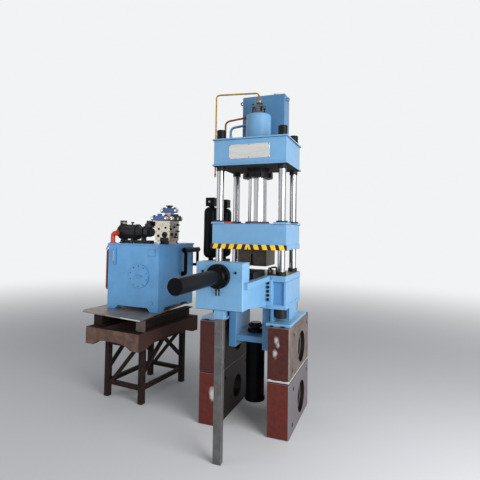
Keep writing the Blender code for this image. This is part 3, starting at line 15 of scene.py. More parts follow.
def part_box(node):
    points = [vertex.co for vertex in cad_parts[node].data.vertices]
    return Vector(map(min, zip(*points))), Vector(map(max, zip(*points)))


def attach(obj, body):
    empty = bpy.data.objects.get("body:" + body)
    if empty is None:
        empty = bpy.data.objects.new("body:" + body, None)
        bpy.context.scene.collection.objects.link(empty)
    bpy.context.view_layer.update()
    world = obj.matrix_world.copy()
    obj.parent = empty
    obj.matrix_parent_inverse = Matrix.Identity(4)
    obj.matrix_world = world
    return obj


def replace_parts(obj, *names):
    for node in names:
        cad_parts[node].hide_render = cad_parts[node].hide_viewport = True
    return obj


bl_info = {
    "name": "Die casting press dresser",
    "version": (1, 0, 0),
    "blender": (4, 5, 0),
    "location": "3D View > Sidebar > Press",
    "description": "Finishes, fasteners, weld beads and stage of a four-column die casting press",
    "category": "Object",
}

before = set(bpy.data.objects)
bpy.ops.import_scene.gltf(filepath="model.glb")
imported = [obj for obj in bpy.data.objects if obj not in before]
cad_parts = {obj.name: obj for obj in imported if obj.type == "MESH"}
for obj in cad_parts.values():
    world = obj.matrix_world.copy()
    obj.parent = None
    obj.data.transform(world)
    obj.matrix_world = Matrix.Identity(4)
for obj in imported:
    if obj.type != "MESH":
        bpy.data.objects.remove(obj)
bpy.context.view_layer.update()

# Places read from the frame: the press stands round the ram, the power unit round its lid
RAM_LO, RAM_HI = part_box("ram")
LID_LO, LID_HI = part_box("tank_lid")
TRESTLE_LO, TRESTLE_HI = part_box("trestle_top")
UNIT_YAW = -2.5
TRESTLE_YAW = -5.5
PRESS = Matrix.Translation(((RAM_LO.x + RAM_HI.x) / 2, (RAM_LO.y + RAM_HI.y) / 2, 0.0))
UNIT = (Matrix.Translation(((LID_LO.x + LID_HI.x) / 2, (LID_LO.y + LID_HI.y) / 2, 0.0))
    @ Matrix.Rotation(math.radians(UNIT_YAW), 4, "Z"))
TRESTLE = (Matrix.Translation(((TRESTLE_LO.x + TRESTLE_HI.x) / 2, (TRESTLE_LO.y + TRESTLE_HI.y) / 2, 0.0))
    @ Matrix.Rotation(math.radians(TRESTLE_YAW), 4, "Z"))
GROUND = Matrix.Identity(4)
MM = 0.001

# Levels of the press
TABLE_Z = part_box("bed")[1].z
CROWN_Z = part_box("crown")[0].z
CROWN_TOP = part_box("top_nut_front_left")[0].z
FLANGE_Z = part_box("shot_frame")[1].z
FOOT_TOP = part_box("bed")[0].z + 0.028
SHOT_TOP = FLANGE_Z
SIDE_AXIS_Z = TABLE_Z + 0.053
LID_TOP = LID_HI.z
TANK_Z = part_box("tank")[0].z
TANK_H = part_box("tank")[1].z - TANK_Z

# Sizes of the solids that pieces are set against
GAP = 0.0003
RUN_CLEAR = 0.006
# How deep a flat piece is let into what carries it
BITE = 0.2 * MM
SPOT_FACE_D = 0.003
COLUMN_X, COLUMN_Y, COLUMN_R = 0.354, 0.248, 0.040
COLUMNS = [(sx * COLUMN_X, sy * COLUMN_Y, f"{end}_{side}") for sx, side in ((-1, "left"), (1, "right")) for sy,
    end in ((-1, "front"), (1, "rear"))]
TABLE_COLLAR_R, TABLE_COLLAR_H = 0.0515, 0.040
CROWN_COLLAR_R, CROWN_COLLAR_H, CROWN_LIP_T = 0.047, 0.048, 0.020
LOW_NUT_R, TOP_NUT_R = 0.060, 0.050
TABLE_T, BED_FLANGE_T, BED_PLATE_T = 0.066, 0.041, 0.025
BED_HALF_W, BED_LEG_HALF_D, BED_RIB_X = 0.427, 0.172, 0.259
RAM_R, RAM_FLANGE_R, RAM_FLANGE_H = 0.106, 0.135, 0.016
BARREL_R, BARREL_CHAMFER, BARREL_TOP_T = 0.144, 0.022, 0.045
FITTING_R, BALL_R, BALL_RISE, NECK_R = 0.026, 0.040, 0.056, 0.018
BRASS_R, BRASS_X = 0.0095, -0.535
PIPE_FLANGE_R, PIPE_FLANGE_H = 0.024, 0.016
PREFILL_H, PREFILL_TIE = 0.105, 0.053
PREFILL_FOOT, PREFILL_CAP, PREFILL_R, PREFILL_WAIST = 0.074, 0.066, 0.058, 0.053
PLATEN_HALF_W, PLATEN_HALF_D, PAD_T, BUSH_H = 0.423, 0.311, 0.022, 0.014
BRACKET_HALF_W, BRACKET_FRONT, BRACKET_BACK, BRACKET_FLANGE_T, RAIL_H = 0.226, -1.050, -0.3553, 0.020, 0.052
SIDE_FLANGE_R, SIDE_FLANGE_T, SIDE_BARREL_R, SIDE_CAP_T = 0.109, 0.050, 0.064, 0.040
SIDE_ROD_R, PORT_R, PORT_X, CARRIAGE_HEAD_R, CARRIAGE_HEAD_T = 0.022, 0.0065, 0.014, 0.030, 0.020
SHOT_R, SHOT_FLANGE_R, SHOT_FLANGE_H, SHOT_FOOT_H, SHOT_ROD_R = 0.104, 0.135, 0.045, 0.035, 0.045
SHOT_LEG_IN, SHOT_LEG_OUT, SHOT_BAR_Z, SHOT_BAR_H = 0.150, 0.228, 0.860, 0.060
SHOT_BORE_Z = 0.050
COUPLING_R, COUPLING_WAIST_R, COUPLING_TOP_R, COUPLING_H = 0.088, 0.046, 0.060, 0.104
BOTTLE_R, BOTTLE_NECK_R, BOTTLE_NECK_H, BOTTLE_FOOT_H, BOTTLE_CROWN_H = 0.096, 0.032, 0.020, 0.030, 0.070
HEAD_SIZE, HEAD_H = 0.120, 0.110
TANK_W, TANK_D = 0.797, 0.847
COVER_T, COVER_IN, COVER_DROP = 0.014, 0.298, 0.394
GAUGE_IN, GAUGE_DROP, GAUGE_H, GAUGE_T, GAUGE_SLOT, GAUGE_END = 0.094, 0.148, 0.215, 0.020, 0.022, 0.030
SMALL_COVER_IN, SMALL_COVER_DROP = 0.106, 0.090
MOTOR_R, MOTOR_X0, MOTOR_LENGTH, MOTOR_Y, MOTOR_RISE, MOTOR_FOOT_IN = 0.105, -0.365, 0.300, -0.240, 0.150, 0.070
TERMINAL_W, TERMINAL_IN, TERMINAL_H = 0.066, 0.048, 0.045
BELL_LENGTH, BELL_RIM, PUMP_LENGTH = 0.110, 0.016, 0.120
BLOCK_X, BLOCK_Y, BLOCK_W, BLOCK_D, BLOCK_BASE_H, BLOCK_H = 0.365, -0.205, 0.215, 0.230, 0.045, 0.255
PORT_DEPTH, RISER_H = 0.020, 0.105
FRONT_PORTS = ((-0.055, 0.060, 0.020), (0.040, 0.075, 0.026), (-0.050, 0.150, 0.016), (0.050, 0.165, 0.016))
SIDE_PORTS = ((-0.050, 0.080, 0.022), (0.045, 0.080, 0.022), (0.0, 0.175, 0.016))
VALVE_LENGTH, VALVE_BODY_L, VALVE_D, SPOOL_H, SOLENOID_R = 0.250, 0.120, 0.060, 0.064, 0.027
ELBOW_R, ELBOW_IN, ELBOW_RISE, ELBOW_REACH, ELBOW_FLANGE = 0.030, 0.034, 0.132, 0.062, 0.010
FILTER_R, FILTER_OUT, FILTER_DROP, FILTER_START = 0.034, 0.050, 0.073, 0.517
FILTER_LEG_R, FILTER_LEG_DROP = 0.024, 0.400
RETURN_R, RETURN_BEHIND, RETURN_DROP, RETURN_IN = 0.021, 0.040, 0.290, 0.100
SIDE_PIPE_R, SIDE_PIPE_IN, SIDE_PIPE_OUT, SIDE_PIPE_RISE, SIDE_PIPE_DROP = 0.019, 0.030, 0.040, 0.250, 0.078
PIPE_BOSS_H = 0.008
LEG_X, LEG_Y, LEG_SIZE = (-0.207, 0.318), (-0.436, 0.380), 0.062
SPACER_X, SPACER_W, SPACER_FLANGE, SPACER_SET_BACK, SPACER_BACK = 0.335, 0.115, 0.012, -0.500, 0.510
TRESTLE_TOP, TRESTLE_BEAM_H = 0.850, 0.200
RECESS_REACH, STAND_BORED = 0.310, 0.400
DECK_FRONT = ((-2.225, -0.249), (-1.260, -0.405))
# Screws on the block's front and right: across, up and head radius in mm
FRONT_SCREWS = ((-0.085, 0.020, 7), (0.085, 0.018, 7), (-0.010, 0.115, 8), (0.005, 0.205, 9),
    (-0.085, 0.225, 7), (0.088, 0.225, 7), (-0.088, 0.110, 6), (0.088, 0.120, 6), (0.020, 0.020, 6))
SIDE_SCREWS = ((-0.095, 0.030, 7), (0.095, 0.030, 7), (-0.095, 0.225, 7), (0.095, 0.225, 7), (-0.045, 0.175, 9),
    (0.050, 0.180, 8), (0.0, 0.125, 6))
# Stubs on the block's right: across, up and reach in mm
SIDE_STUBS = ((0.070, 0.205, 34), (0.078, 0.120, 30), (-0.085, 0.150, 22), (0.020, 0.045, 40))
TEST_POINTS = ((-0.075, -0.060), (-0.075, 0.060), (0.075, -0.075))
# Round caps on the lid: across, deep and height
LID_CAPS = ((0.330, 0.060, 0.045), (0.200, 0.040, 0.060), (0.120, 0.300, 0.075))
# Shims at the bed's front feet: inner edge and width
SHIMS, SHIM_FRONT, SHIM_BACK = ((0.285, 0.032), (0.395, 0.044)), -0.414, -0.3865
# The limit switch's conduits: foot, far end, top, bend and radius, with their levels over the table in mm
CONDUITS = (((0.246, -0.262, 54), (0.283, -0.178, 0), 78, 18, 9),
            ((0.228, -0.221, 36), (0.226, -0.272, 54), 72, 12, 7))
# Circles and rows of the screws and bolts
BRACKET_SCREW_X, BRACKET_SCREW_TOP, BRACKET_SCREW_FOOT = 0.252, 0.069, 0.235
END_PLUG_X, END_PLUG_RISE = 0.160, 0.037
SIDE_CIRCLE, GLAND_CIRCLE, COUPLING_CIRCLE, SHOT_CIRCLE = 0.091, 0.137, 0.071, 0.119
COVER_CIRCLE, BELL_CIRCLE = 0.130, 0.080
# Seams of the welds: the ends of a bead stay clear of the corner that it runs into
CROWN_SEAM, BED_SEAM_Y, BED_FRONT_Y, BED_EDGE = (0.4113, 0.3123), 0.320, 0.303, 0.003
BED_POCKET_X, BED_FOOT_X = (0.289, 0.400), 0.284
# A fine round piece is this much of the coarse solid's corner radius, midway between its corners and flats
ROUND = 0.995

# The camera stands where the photograph was taken from, in the press's own frame
CAMERA_AT = (1.44786, -4.33345, 2.04540)
CAMERA_YAW = 20.949
CAMERA_ROLL = 0.908
CAMERA_PITCH = 2.382
CAMERA_LENS = 30.15
CAMERA_SHIFT_Y = -0.0542
CAMERA_SENSOR = 36.0
# The stage: a wide round floor that fades into the background, and two lamps aimed at the middle
FLOOR_R, FADE_START, FADE_END = 60.0, 3.5, 14.0
SKY = "F4F6FA"
AIM, KEY_OFF, KEY_SIZE, FILL_OFF, FILL_SIZE = (-0.7, 0.0, 1.6), (5.4, -3.0, 0.9), 4.0, (-4.2, -4.8, -0.1), 4.5

TURNS = {
    "+Z": Matrix.Identity(4),
    "-Z": Matrix.Rotation(math.pi, 4, "X"),
    "-Y": Matrix.Rotation(math.pi / 2, 4, "X"),
    "+Y": Matrix.Rotation(-math.pi / 2, 4, "X"),
    "+X": Matrix.Rotation(math.pi / 2, 4, "Y"),
    "-X": Matrix.Rotation(-math.pi / 2, 4, "Y"),
}


def linear(colour):
    """A linear RGBA colour from an sRGB hex value such as 6FA9D8."""
    shares = [int(colour[i:i + 2], 16) / 255 for i in (0, 2, 4)]
    return tuple(s / 12.92 if s <= 0.04045 else ((s + 0.055) / 1.055) ** 2.4 for s in shares) + (1.0,)


class Graph:
    """The node tree of a material or a world, with a short call for each kind of step."""

    def __init__(self, owner):
        owner.use_nodes = True
        self.tree = owner.node_tree
        self.link = self.tree.links.new

    def add(self, kind, links=None, **settings):
        """The outputs of a new node, with its settings, and a value or a link for each input named."""
        made = self.tree.nodes.new("ShaderNode" + kind)
        for name, value in settings.items():
            setattr(made, name, value)
        for socket, value in (links or {}).items():
            if isinstance(value, bpy.types.NodeSocket):
                self.link(value, made.inputs[socket])
            else:
                made.inputs[socket].default_value = value
        return made.outputs

    def calc(self, operation, *values, **settings):
        """The result of one step on numbers."""
        return self.add("Math", dict(enumerate(values)), operation=operation, **settings)["Value"]

    def vector(self, operation, *values, result="Vector"):
        """The result of one step on vectors."""
        return self.add("VectorMath", dict(enumerate(values)), operation=operation)[result]

    def both(self, *shares):
        """1 where all the shares are 1, and otherwise their product."""
        product = shares[0]
        for share in shares[1:]:
            product = self.calc("MULTIPLY", product, share)
        return product

    def above(self, value, limit):
        return self.calc("GREATER_THAN", value, limit)

    def below(self, value, limit):
        return self.calc("LESS_THAN", value, limit)

    def between(self, value, low, high):
        return self.both(self.above(value, low), self.below(value, high))

    def ramp(self, value, start, end, low=0.0, high=1.0, **settings):
        """Low at the start, high at the end, held beyond them."""
        return self.add("MapRange", {"Value": value, "From Min": start, "From Max": end, "To Min": low,
            "To Max": high}, **settings)["Result"]

    def paint(self, share, under, over):
        """A colour laid over another by a share. Each is a link or an sRGB hex value."""
        under, over = (linear(c) if isinstance(c, str) else c for c in (under, over))
        return self.add("Mix", {0: share, 6: under, 7: over}, data_type="RGBA")[2]

    def blend(self, share, under, over):
        """A number between two others, by a share."""
        return self.add("Mix", {0: share, 2: under, 3: over}, data_type="FLOAT")[0]

    def noise(self, place, size_mm, detail, roughness=0.5):
        """Noise with features of that size."""
        return self.add("TexNoise", {"Vector": place, "Scale": 1000.0 / size_mm, "Detail": detail,
            "Roughness": roughness})["Fac"]

    def split(self, vector):
        return self.add("SeparateXYZ", {"Vector": vector})

    def seen(self):
        """1 for the rays that show what lies behind the press, in plain view, in gloss or through glass."""
        rays = self.add("LightPath")
        seen = rays["Is Camera Ray"]
        for kind in ("Is Glossy Ray", "Is Transmission Ray"):
            seen = self.calc("MAXIMUM", seen, rays[kind])
        return seen

    def facing(self):
        """The parts of the direction that the face looks in."""
        return self.split(self.add("NewGeometry")["Normal"])


def surface(name, base, cloud, edge, rough, metal=0.0, cloud_mm=160.0, grain_mm=3.0, relief_mm=0.1,
            rough_swing=0.10, wear_and_edge_highlight=0.5, edge_mm=3.0, dust=0.0, streak=(1.0, 1.0, 1.0), mirror=0.5,
            special=None):
    """A worn workshop surface: clouded tone, grain in gloss and relief, edges paler from rubbing and from
    painted highlight, and settled dust.
    """
    mat = bpy.data.materials.new(name)
    g = Graph(mat)
    mat.diffuse_color = linear(base)
    shader = g.tree.nodes["Principled BSDF"].inputs
    shader["Metallic"].default_value = metal
    shader["Specular IOR Level"].default_value = mirror
    place = g.add("TexCoord")["Object"]
    along = g.add("Mapping", {"Vector": place, "Scale": streak})["Vector"]
    clouds = g.noise(along, cloud_mm, 5.0, 0.62)
    grain = g.noise(along, grain_mm, 2.5)
    tone = g.paint(g.ramp(clouds, 0.36, 0.66), base, cloud)
    around = g.add("Bevel", {"Radius": edge_mm * MM}, samples=4)["Normal"]
    face = g.add("NewGeometry")["Normal"]
    # Edges take the edge colour: partly rubbed wear, partly a painted highlight
    corner = g.ramp(g.vector("DOT_PRODUCT", around, face, result="Value"), 0.995, 0.86)
    patchy = g.ramp(clouds, 0.30, 0.62, 0.25)
    tone = g.paint(g.calc("MULTIPLY", g.both(corner, patchy), wear_and_edge_highlight, use_clamp=True), tone, edge)
    if dust:
        lying = g.ramp(g.split(face)["Z"], 0.55, 0.95, 0.0, dust)
        tone = g.paint(g.both(lying, patchy), tone, "A9ABA6")
    gloss = g.ramp(grain, 0.30, 0.70, max(rough - rough_swing, 0.02), rough + rough_swing)
    if special:
        tone, gloss = special(g, shader, place, clouds, tone, gloss)
    g.link(tone, shader["Base Color"])
    g.link(gloss, shader["Roughness"])
    height = g.calc("ADD", grain, clouds)
    relief = {"Height": height, "Distance": relief_mm * MM, "Strength": 0.7, "Normal": around}
    g.link(g.add("Bump", relief)["Normal"], shader["Normal"])
    return mat


def black_ends(g, shader, place, clouds, tone, gloss):
    """The column's shoulders below the table collar's top and above the crown collar's foot are blackened."""
    z = g.split(place)["Z"]
    black = g.calc("MAXIMUM", g.below(z, TABLE_Z + TABLE_COLLAR_H + 0.5 * MM),
        g.above(z, CROWN_Z - CROWN_COLLAR_H - 0.5 * MM))
    g.link(g.calc("SUBTRACT", 1.0, black), shader["Metallic"])
    return g.paint(black, tone, "0C0D0E"), g.blend(black, gloss, 0.52)


def painted_shade_and_bare_table(g, shader, place, clouds, tone, gloss):
    """Painted shade: every face that looks down is drawn black and matt, and the bed's front recesses a darker
    blue; the table top is bare machined steel.
    """
    facing, spot, middle = g.facing(), g.split(place), PRESS.translation.y
    under = g.below(facing["Z"], -0.7)
    table = g.both(g.between(spot["Z"], TABLE_Z - 0.5 * MM, TABLE_Z + MM), g.above(facing["Z"], 0.7))
    recess = g.both(g.between(spot["Y"], middle - RECESS_REACH, middle), g.below(spot["Z"], TABLE_Z),
        g.below(facing["Y"], -0.7))
    # Painted shade in the recesses and on every downward face; the table top's grey is its own bare steel
    for share, colour in ((recess, "4E85B4"), (table, "8A8682"), (under, "0B0C0D")):
        tone = g.paint(share, tone, colour)
    return tone, g.blend(under, gloss, 1.0)


def primed_fronts(g, shader, place, clouds, tone, gloss):
    """Red oxide primer on the fronts, painted shade on the left stack's inner sides and inside the bores, and
    white chafed knocks on the right stack.
    """
    facing, spot = g.facing(), g.split(place)
    front = g.above(g.calc("ABSOLUTE", facing["Y"]), 0.8)
    middle, joint = PRESS.translation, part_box("stand_right_lower")[1].z
    # Painted shade: the faces between the fronts that don't look sideways, the insides of the bores among them
    bored = g.both(g.below(g.calc("ABSOLUTE", facing["X"]), 0.5), g.between(spot["Y"], middle.y - STAND_BORED,
        middle.y + STAND_BORED))
    mottle = g.noise(place, 45.0, 6.0, 0.7)
    share = g.ramp(mottle, 0.35, 0.68)
    high, left = g.above(spot["Z"], joint), g.below(spot["X"], middle.x)
    primer = g.paint(high, g.paint(share, "64271F", "481E1A"), g.paint(share, "4C221D", "361A17"))
    side = g.paint(high, "716C70", tone)
    # Painted shade: the left stack's faces that look right, towards the press, are drawn near black
    side = g.paint(g.both(g.above(facing["X"], 0.8), left), side, "2A2221")
    tone = g.paint(front, side, primer)
    # Chafed white: a strip along the upper block's lower edge, and a few knocks
    ragged = g.calc("MULTIPLY", mottle, 0.045)
    strip = g.between(g.calc("SUBTRACT", spot["Z"], ragged), joint - 30 * MM, joint + 2 * MM)
    white = g.both(strip, high, g.calc("SUBTRACT", 1.0, left))
    for where, size in KNOCKS:
        off = g.vector("MULTIPLY", g.vector("SUBTRACT", place, PRESS @ Vector(where)), (1.0, 1.0, 0.5))
        far = g.calc("ADD", g.vector("LENGTH", off, result="Value"), ragged)
        white = g.calc("MAXIMUM", white, g.ramp(far, size + 0.035, size + 0.010))
    # The dark joint between the stacks and the painted shade of the bores are drawn near black together
    gap = g.between(spot["Z"], joint - 5 * MM, joint + 3 * MM)
    tone = g.paint(g.calc("MAXIMUM", gap, bored), g.paint(white, tone, "BAB5B4"), "171110")
    g.link(g.ramp(front, 0.0, 1.0, 0.35, 0.0), shader["Metallic"])
    return tone, g.blend(front, gloss, 0.62)


def rust_bloom(g, shader, place, clouds, tone, gloss):
    """Orange rust shows through the dark scale in patches, and the front beam is rubbed paler."""
    facing, share = g.facing(), g.ramp(g.noise(place, 28.0, 8.0, 0.75), 0.50, 0.68)
    beam = g.between(g.split(place)["Z"], TRESTLE_TOP - TRESTLE_BEAM_H, TRESTLE_TOP + MM)
    rubbed = g.both(g.below(facing["Y"], -0.8), beam, g.ramp(clouds, 0.40, 0.70, 0.45))
    for where, colour in ((share, "4A302A"), (g.both(g.above(facing["X"], 0.8), beam), "4A342E"),
            (rubbed, "7E6458")):
        tone = g.paint(where, tone, colour)
    return tone, g.blend(share, gloss, 0.85)


# White knocks on the primed fronts: where, in the press's frame, and how large
KNOCKS = (((0.358, -0.420, 0.962), 0.012), ((0.376, -0.420, 0.918), 0.009), ((0.344, -0.420, 0.830), 0.014),
    ((-0.330, -0.420, 0.330), 0.030))

# Each finish: the arguments of surface(), under the name of what the real one is
FINISHES = {
    # Blue alkyd enamel sprayed over welded plate: satin, softly clouded, paler at the edges where rubbed and as
    # painted highlight; painted shade under it and in the bed's front recesses
    "sprayed_blue_enamel": dict(base="70A2CA", cloud="689AC2", edge="A8CBE6", rough=0.36, grain_mm=4.0,
        relief_mm=0.12, wear_and_edge_highlight=0.55, dust=0.25, special=painted_shade_and_bare_table),
    # The same enamel in an older, deeper batch on the oil tank and the power unit
    "sprayed_deep_blue": dict(base="5CA6DF", cloud="529AD2", edge="98C4E8", rough=0.38, grain_mm=4.0,
        relief_mm=0.12, wear_and_edge_highlight=0.55, dust=0.25),
    # The head tank's blue enamel, drawn darker as painted shade because it stands at the back in shade
    "shade_darkened_blue": dict(base="4C7DA6", cloud="45759D", edge="86B0D2", rough=0.38, grain_mm=4.0,
        relief_mm=0.12, wear_and_edge_highlight=0.55, dust=0.15),
    # Ground and hard-chromed bar: bright, with long dark and pale vertical streaks that are painted reflections
    # over faint grinding bands; its ends are blackened
    "ground_chrome_column": dict(base="B4B4B7", cloud="74757A", edge="E0E0E2", rough=0.20, metal=1.0, wear_and_edge_highlight=0.1,
        streak=(1.0, 1.0, 0.02), cloud_mm=24.0, grain_mm=9.0, relief_mm=0.001, rough_swing=0.05, mirror=0.25,
        special=black_ends),
    # The same bar with the same painted reflection streaks, without blackened ends
    "ground_chrome_rod": dict(base="D2D3D6", cloud="94969C", edge="E8E8EA", rough=0.20, metal=1.0, wear_and_edge_highlight=0.1,
        streak=(1.0, 1.0, 0.02), cloud_mm=30.0, grain_mm=9.0, relief_mm=0.001, rough_swing=0.05),
    # Oiled black oxide on turned steel: near black with a dull sheen, browner where handled
    "black_oxide_steel": dict(base="101113", cloud="17171A", edge="4A4B4F", rough=0.36, metal=0.2,
        cloud_mm=60.0, grain_mm=5.0, relief_mm=0.05, mirror=0.16),
    # Black enamel on tube and bottles: soft long highlights, little texture
    "black_enamel": dict(base="0B0C0E", cloud="101114", edge="303238", rough=0.30, wear_and_edge_highlight=0.4, relief_mm=0.08,
        mirror=0.05),
    # Machined and ground table plate: brown-grey metal with long cutter marks
    "ground_table_steel": dict(base="8C8177", cloud="6F655D", edge="B5ADA4", rough=0.36, metal=0.8, wear_and_edge_highlight=0.6,
        streak=(8.0, 1.0, 1.0), grain_mm=14.0, relief_mm=0.04),
    # Die block left as forged and stoned: dark brown-grey, oily
    "forged_die_steel": dict(base="4A423C", cloud="352F2B", edge="837A72", rough=0.42, metal=0.7, wear_and_edge_highlight=0.7,
        cloud_mm=70.0, grain_mm=6.0, relief_mm=0.08),
    # Red oxide primer left on the platen's inner plate
    "red_oxide_primer": dict(base="5E2420", cloud="4A201C", edge="8A5048", rough=0.62, wear_and_edge_highlight=0.4),
    # Raw casting of the old crossbeams: scaled brown-grey sides, primed fronts with white knocks, and painted
    # shade on the left stack's inner sides and in the bores
    "primed_crossbeam_steel": dict(base="7D706A", cloud="5D524E", edge="A3968C", rough=0.55, metal=0.35,
        wear_and_edge_highlight=0.7, cloud_mm=90.0, grain_mm=7.0, relief_mm=0.35, mirror=0.25, special=primed_fronts),
    # Hot-rolled angle and plate: grey mill scale, dull
    "mill_scale_steel": dict(base="6B6C6D", cloud="585654", edge="B9BABB", rough=0.50, metal=0.6, wear_and_edge_highlight=0.9,
        cloud_mm=80.0, grain_mm=5.0, relief_mm=0.12),
    # Checked workshop deck plate: dark grey with walked-on sheen, bright cut edge
    "walked_deck_plate": dict(base="9C8C82", cloud="76685F", edge="A09C9A", rough=0.46, metal=0.4, wear_and_edge_highlight=0.8,
        edge_mm=5.0, cloud_mm=120.0, grain_mm=6.0, relief_mm=0.12),
    # Scaled plate that closes a spacer's end: grey-brown
    "scaled_end_plate": dict(base="6A5C54", cloud="584C46", edge="948880", rough=0.60, metal=0.3, wear_and_edge_highlight=0.6,
        cloud_mm=50.0, grain_mm=5.0, relief_mm=0.12),
    # Weathered section steel: dark brown scale with rust coming through
    "rusted_section_steel": dict(base="241C1A", cloud="1A1514", edge="4C3E38", rough=0.75, metal=0.1, wear_and_edge_highlight=0.6,
        cloud_mm=110.0, grain_mm=5.0, relief_mm=0.30, mirror=0.15, special=rust_bloom),
    # Cast-iron housings in dark machine enamel: charcoal, semi-matt, slightly pebbled
    "charcoal_cast_iron": dict(base="17181A", cloud="1F1F22", edge="46474B", rough=0.48, cloud_mm=60.0,
        grain_mm=2.5, relief_mm=0.25, mirror=0.25),
    # Milled manifold block, nickel plated: pale warm grey metal with cutter marks
    "milled_manifold": dict(base="B0A89A", cloud="90887C", edge="DAD4C8", rough=0.34, metal=0.75, wear_and_edge_highlight=0.7,
        cloud_mm=30.0, grain_mm=4.0, relief_mm=0.05, streak=(1.0, 1.0, 5.0)),
    # Zinc-plated steel: grey-silver fasteners and fittings
    "zinc_plated_steel": dict(base="A6A9AB", cloud="8C8E92", edge="D2D4D6", rough=0.32, metal=0.9,
        cloud_mm=20.0, relief_mm=0.03),
    # Sheared plate edge, rubbed bright
    "sheared_bright_edge": dict(base="DCDCDA", cloud="BEBEBC", edge="EEEEEC", rough=0.40, metal=0.2, wear_and_edge_highlight=0.4,
        cloud_mm=40.0, relief_mm=0.08),
    # Turned steel left plain, gone dull with handling
    "dull_steel": dict(base="7E7F80", cloud="6A6A6C", edge="B4B5B6", rough=0.42, metal=0.7, cloud_mm=30.0,
        relief_mm=0.04),
    # Grey enamel on the prefill valve
    "grey_enamel": dict(base="626469", cloud="505256", edge="A0A3A8", rough=0.38, metal=0.4, dust=0.15),
    # Drawn brass tube: golden, softly tarnished
    "drawn_brass_tube": dict(base="B08A48", cloud="987436", edge="D8B470", rough=0.30, metal=0.85, wear_and_edge_highlight=0.2,
        cloud_mm=60.0, grain_mm=6.0, relief_mm=0.02),
    # Dark red enamel on steel pipe
    "dark_red_enamel": dict(base="8A2A24", cloud="762420", edge="B8584C", rough=0.35, wear_and_edge_highlight=0.4),
    # Orange-red enamel on the suction elbow
    "orange_red_enamel": dict(base="C8402A", cloud="B43A28", edge="DE7862", rough=0.35, wear_and_edge_highlight=0.4),
    # Fresh primer, brighter and less handled
    "fresh_red_primer": dict(base="B84A3C", cloud="A03E34", edge="D87868", rough=0.55, wear_and_edge_highlight=0.3),
    # Blue enamel on the directional valves' bodies
    "valve_blue_enamel": dict(base="27508E", cloud="224680", edge="5C84C0", rough=0.34, wear_and_edge_highlight=0.4,
        relief_mm=0.06),
    # Signal yellow road enamel of the hazard stripes
    "signal_yellow_enamel": dict(base="FCCC14", cloud="F4C010", edge="FDE070", rough=0.42, wear_and_edge_highlight=0.3,
        relief_mm=0.05),
    # Matt black between the stripes
    "matt_black_enamel": dict(base="101012", cloud="17171A", edge="3A3A3C", rough=0.50, wear_and_edge_highlight=0.4,
        relief_mm=0.05, mirror=0.35),
    # Brushed stainless plate: horizontal brushing in fine long lines, drawn coarse enough to show
    "brushed_stainless": dict(base="D8D8D6", cloud="C8C8C8", edge="EAEAEA", rough=0.30, metal=0.9, wear_and_edge_highlight=0.4,
        streak=(1.0, 30.0, 30.0), grain_mm=40.0, cloud_mm=300.0, relief_mm=0.02),
    # Moulded white polyamide cap
    "moulded_white_cap": dict(base="E4E4E0", cloud="D6D6D2", edge="F2F2F0", rough=0.40, wear_and_edge_highlight=0.2, cloud_mm=30.0,
        grain_mm=2.0, relief_mm=0.04),
    # Moulded beige terminal box
    "moulded_beige_box": dict(base="BDB49A", cloud="AAA189", edge="D6CFB8", rough=0.45, wear_and_edge_highlight=0.3, cloud_mm=30.0,
        grain_mm=2.0, relief_mm=0.05),
    # Moulded blue solenoid coil
    "moulded_blue_coil": dict(base="2B559A", cloud="264B8A", edge="5C84C0", rough=0.36, wear_and_edge_highlight=0.3, cloud_mm=25.0,
        grain_mm=2.0, relief_mm=0.05),
    # Moulded black connector
    "moulded_black_plug": dict(base="101113", cloud="17181A", edge="37383A", rough=0.45, wear_and_edge_highlight=0.3,
        cloud_mm=25.0, grain_mm=1.5, relief_mm=0.06, mirror=0.35),
    # Sight glass with oil behind it: pale, glossy
    "oiled_sight_glass": dict(base="C9CFCB", cloud="B7BDB8", edge="E6EAE6", rough=0.10, rough_swing=0.03,
        wear_and_edge_highlight=0.1, cloud_mm=50.0, relief_mm=0.01),
    # Welds in blue paint: the same enamel, pooled between the ripples
    "painted_weld": dict(base="659FD0", cloud="5B93C4", edge="94C0E4", rough=0.40, relief_mm=0.20),
    # Bare welds: dark, blued ripples
    "bare_weld": dict(base="4A4644", cloud="38342F", edge="8E8A86", rough=0.45, metal=0.6, relief_mm=0.15,
        wear_and_edge_highlight=0.6),
}


def finish(name):
    """The material of that name, made at its first use."""
    return bpy.data.materials.get(name) or surface(name, **FINISHES[name])


def radius_at(radius, angle, corners):
    """The reach of a regular polygon with that many corners, or of a circle where corners is 0."""
    if not corners:
        return radius
    step = 2 * math.pi / corners
    return radius * math.cos(step / 2) / math.cos(angle % step - step / 2)


def lathe(bm, profile, place, sides=24, ring=False):
    """Adds a solid turned about z. A profile point is (radius, height), or (radius, height, corners)."""
    loops = []
    for point in profile:
        radius, height = point[:2]
        corners = point[2] if len(point) > 2 else 0
        if radius == 0:
            loops.append([bm.verts.new(place @ Vector((0, 0, height)))])
            continue
        turned = []
        for i in range(sides):
            angle = 2 * math.pi * i / sides
            reach = radius_at(radius, angle, corners)
            spot = Vector((reach * math.cos(angle), reach * math.sin(angle), height))
            turned.append(bm.verts.new(place @ spot))
        loops.append(turned)
    pairs = list(zip(loops, loops[1:]))
    if ring:
        pairs.append((loops[-1], loops[0]))
    for low, high in pairs:
        for i in range(sides):
            j = (i + 1) % sides
            if len(low) == 1:
                bm.faces.new((low[0], high[j], high[i]))
            elif len(high) == 1:
                bm.faces.new((low[i], low[j], high[0]))
            else:
                bm.faces.new((low[i], low[j], high[j], high[i]))


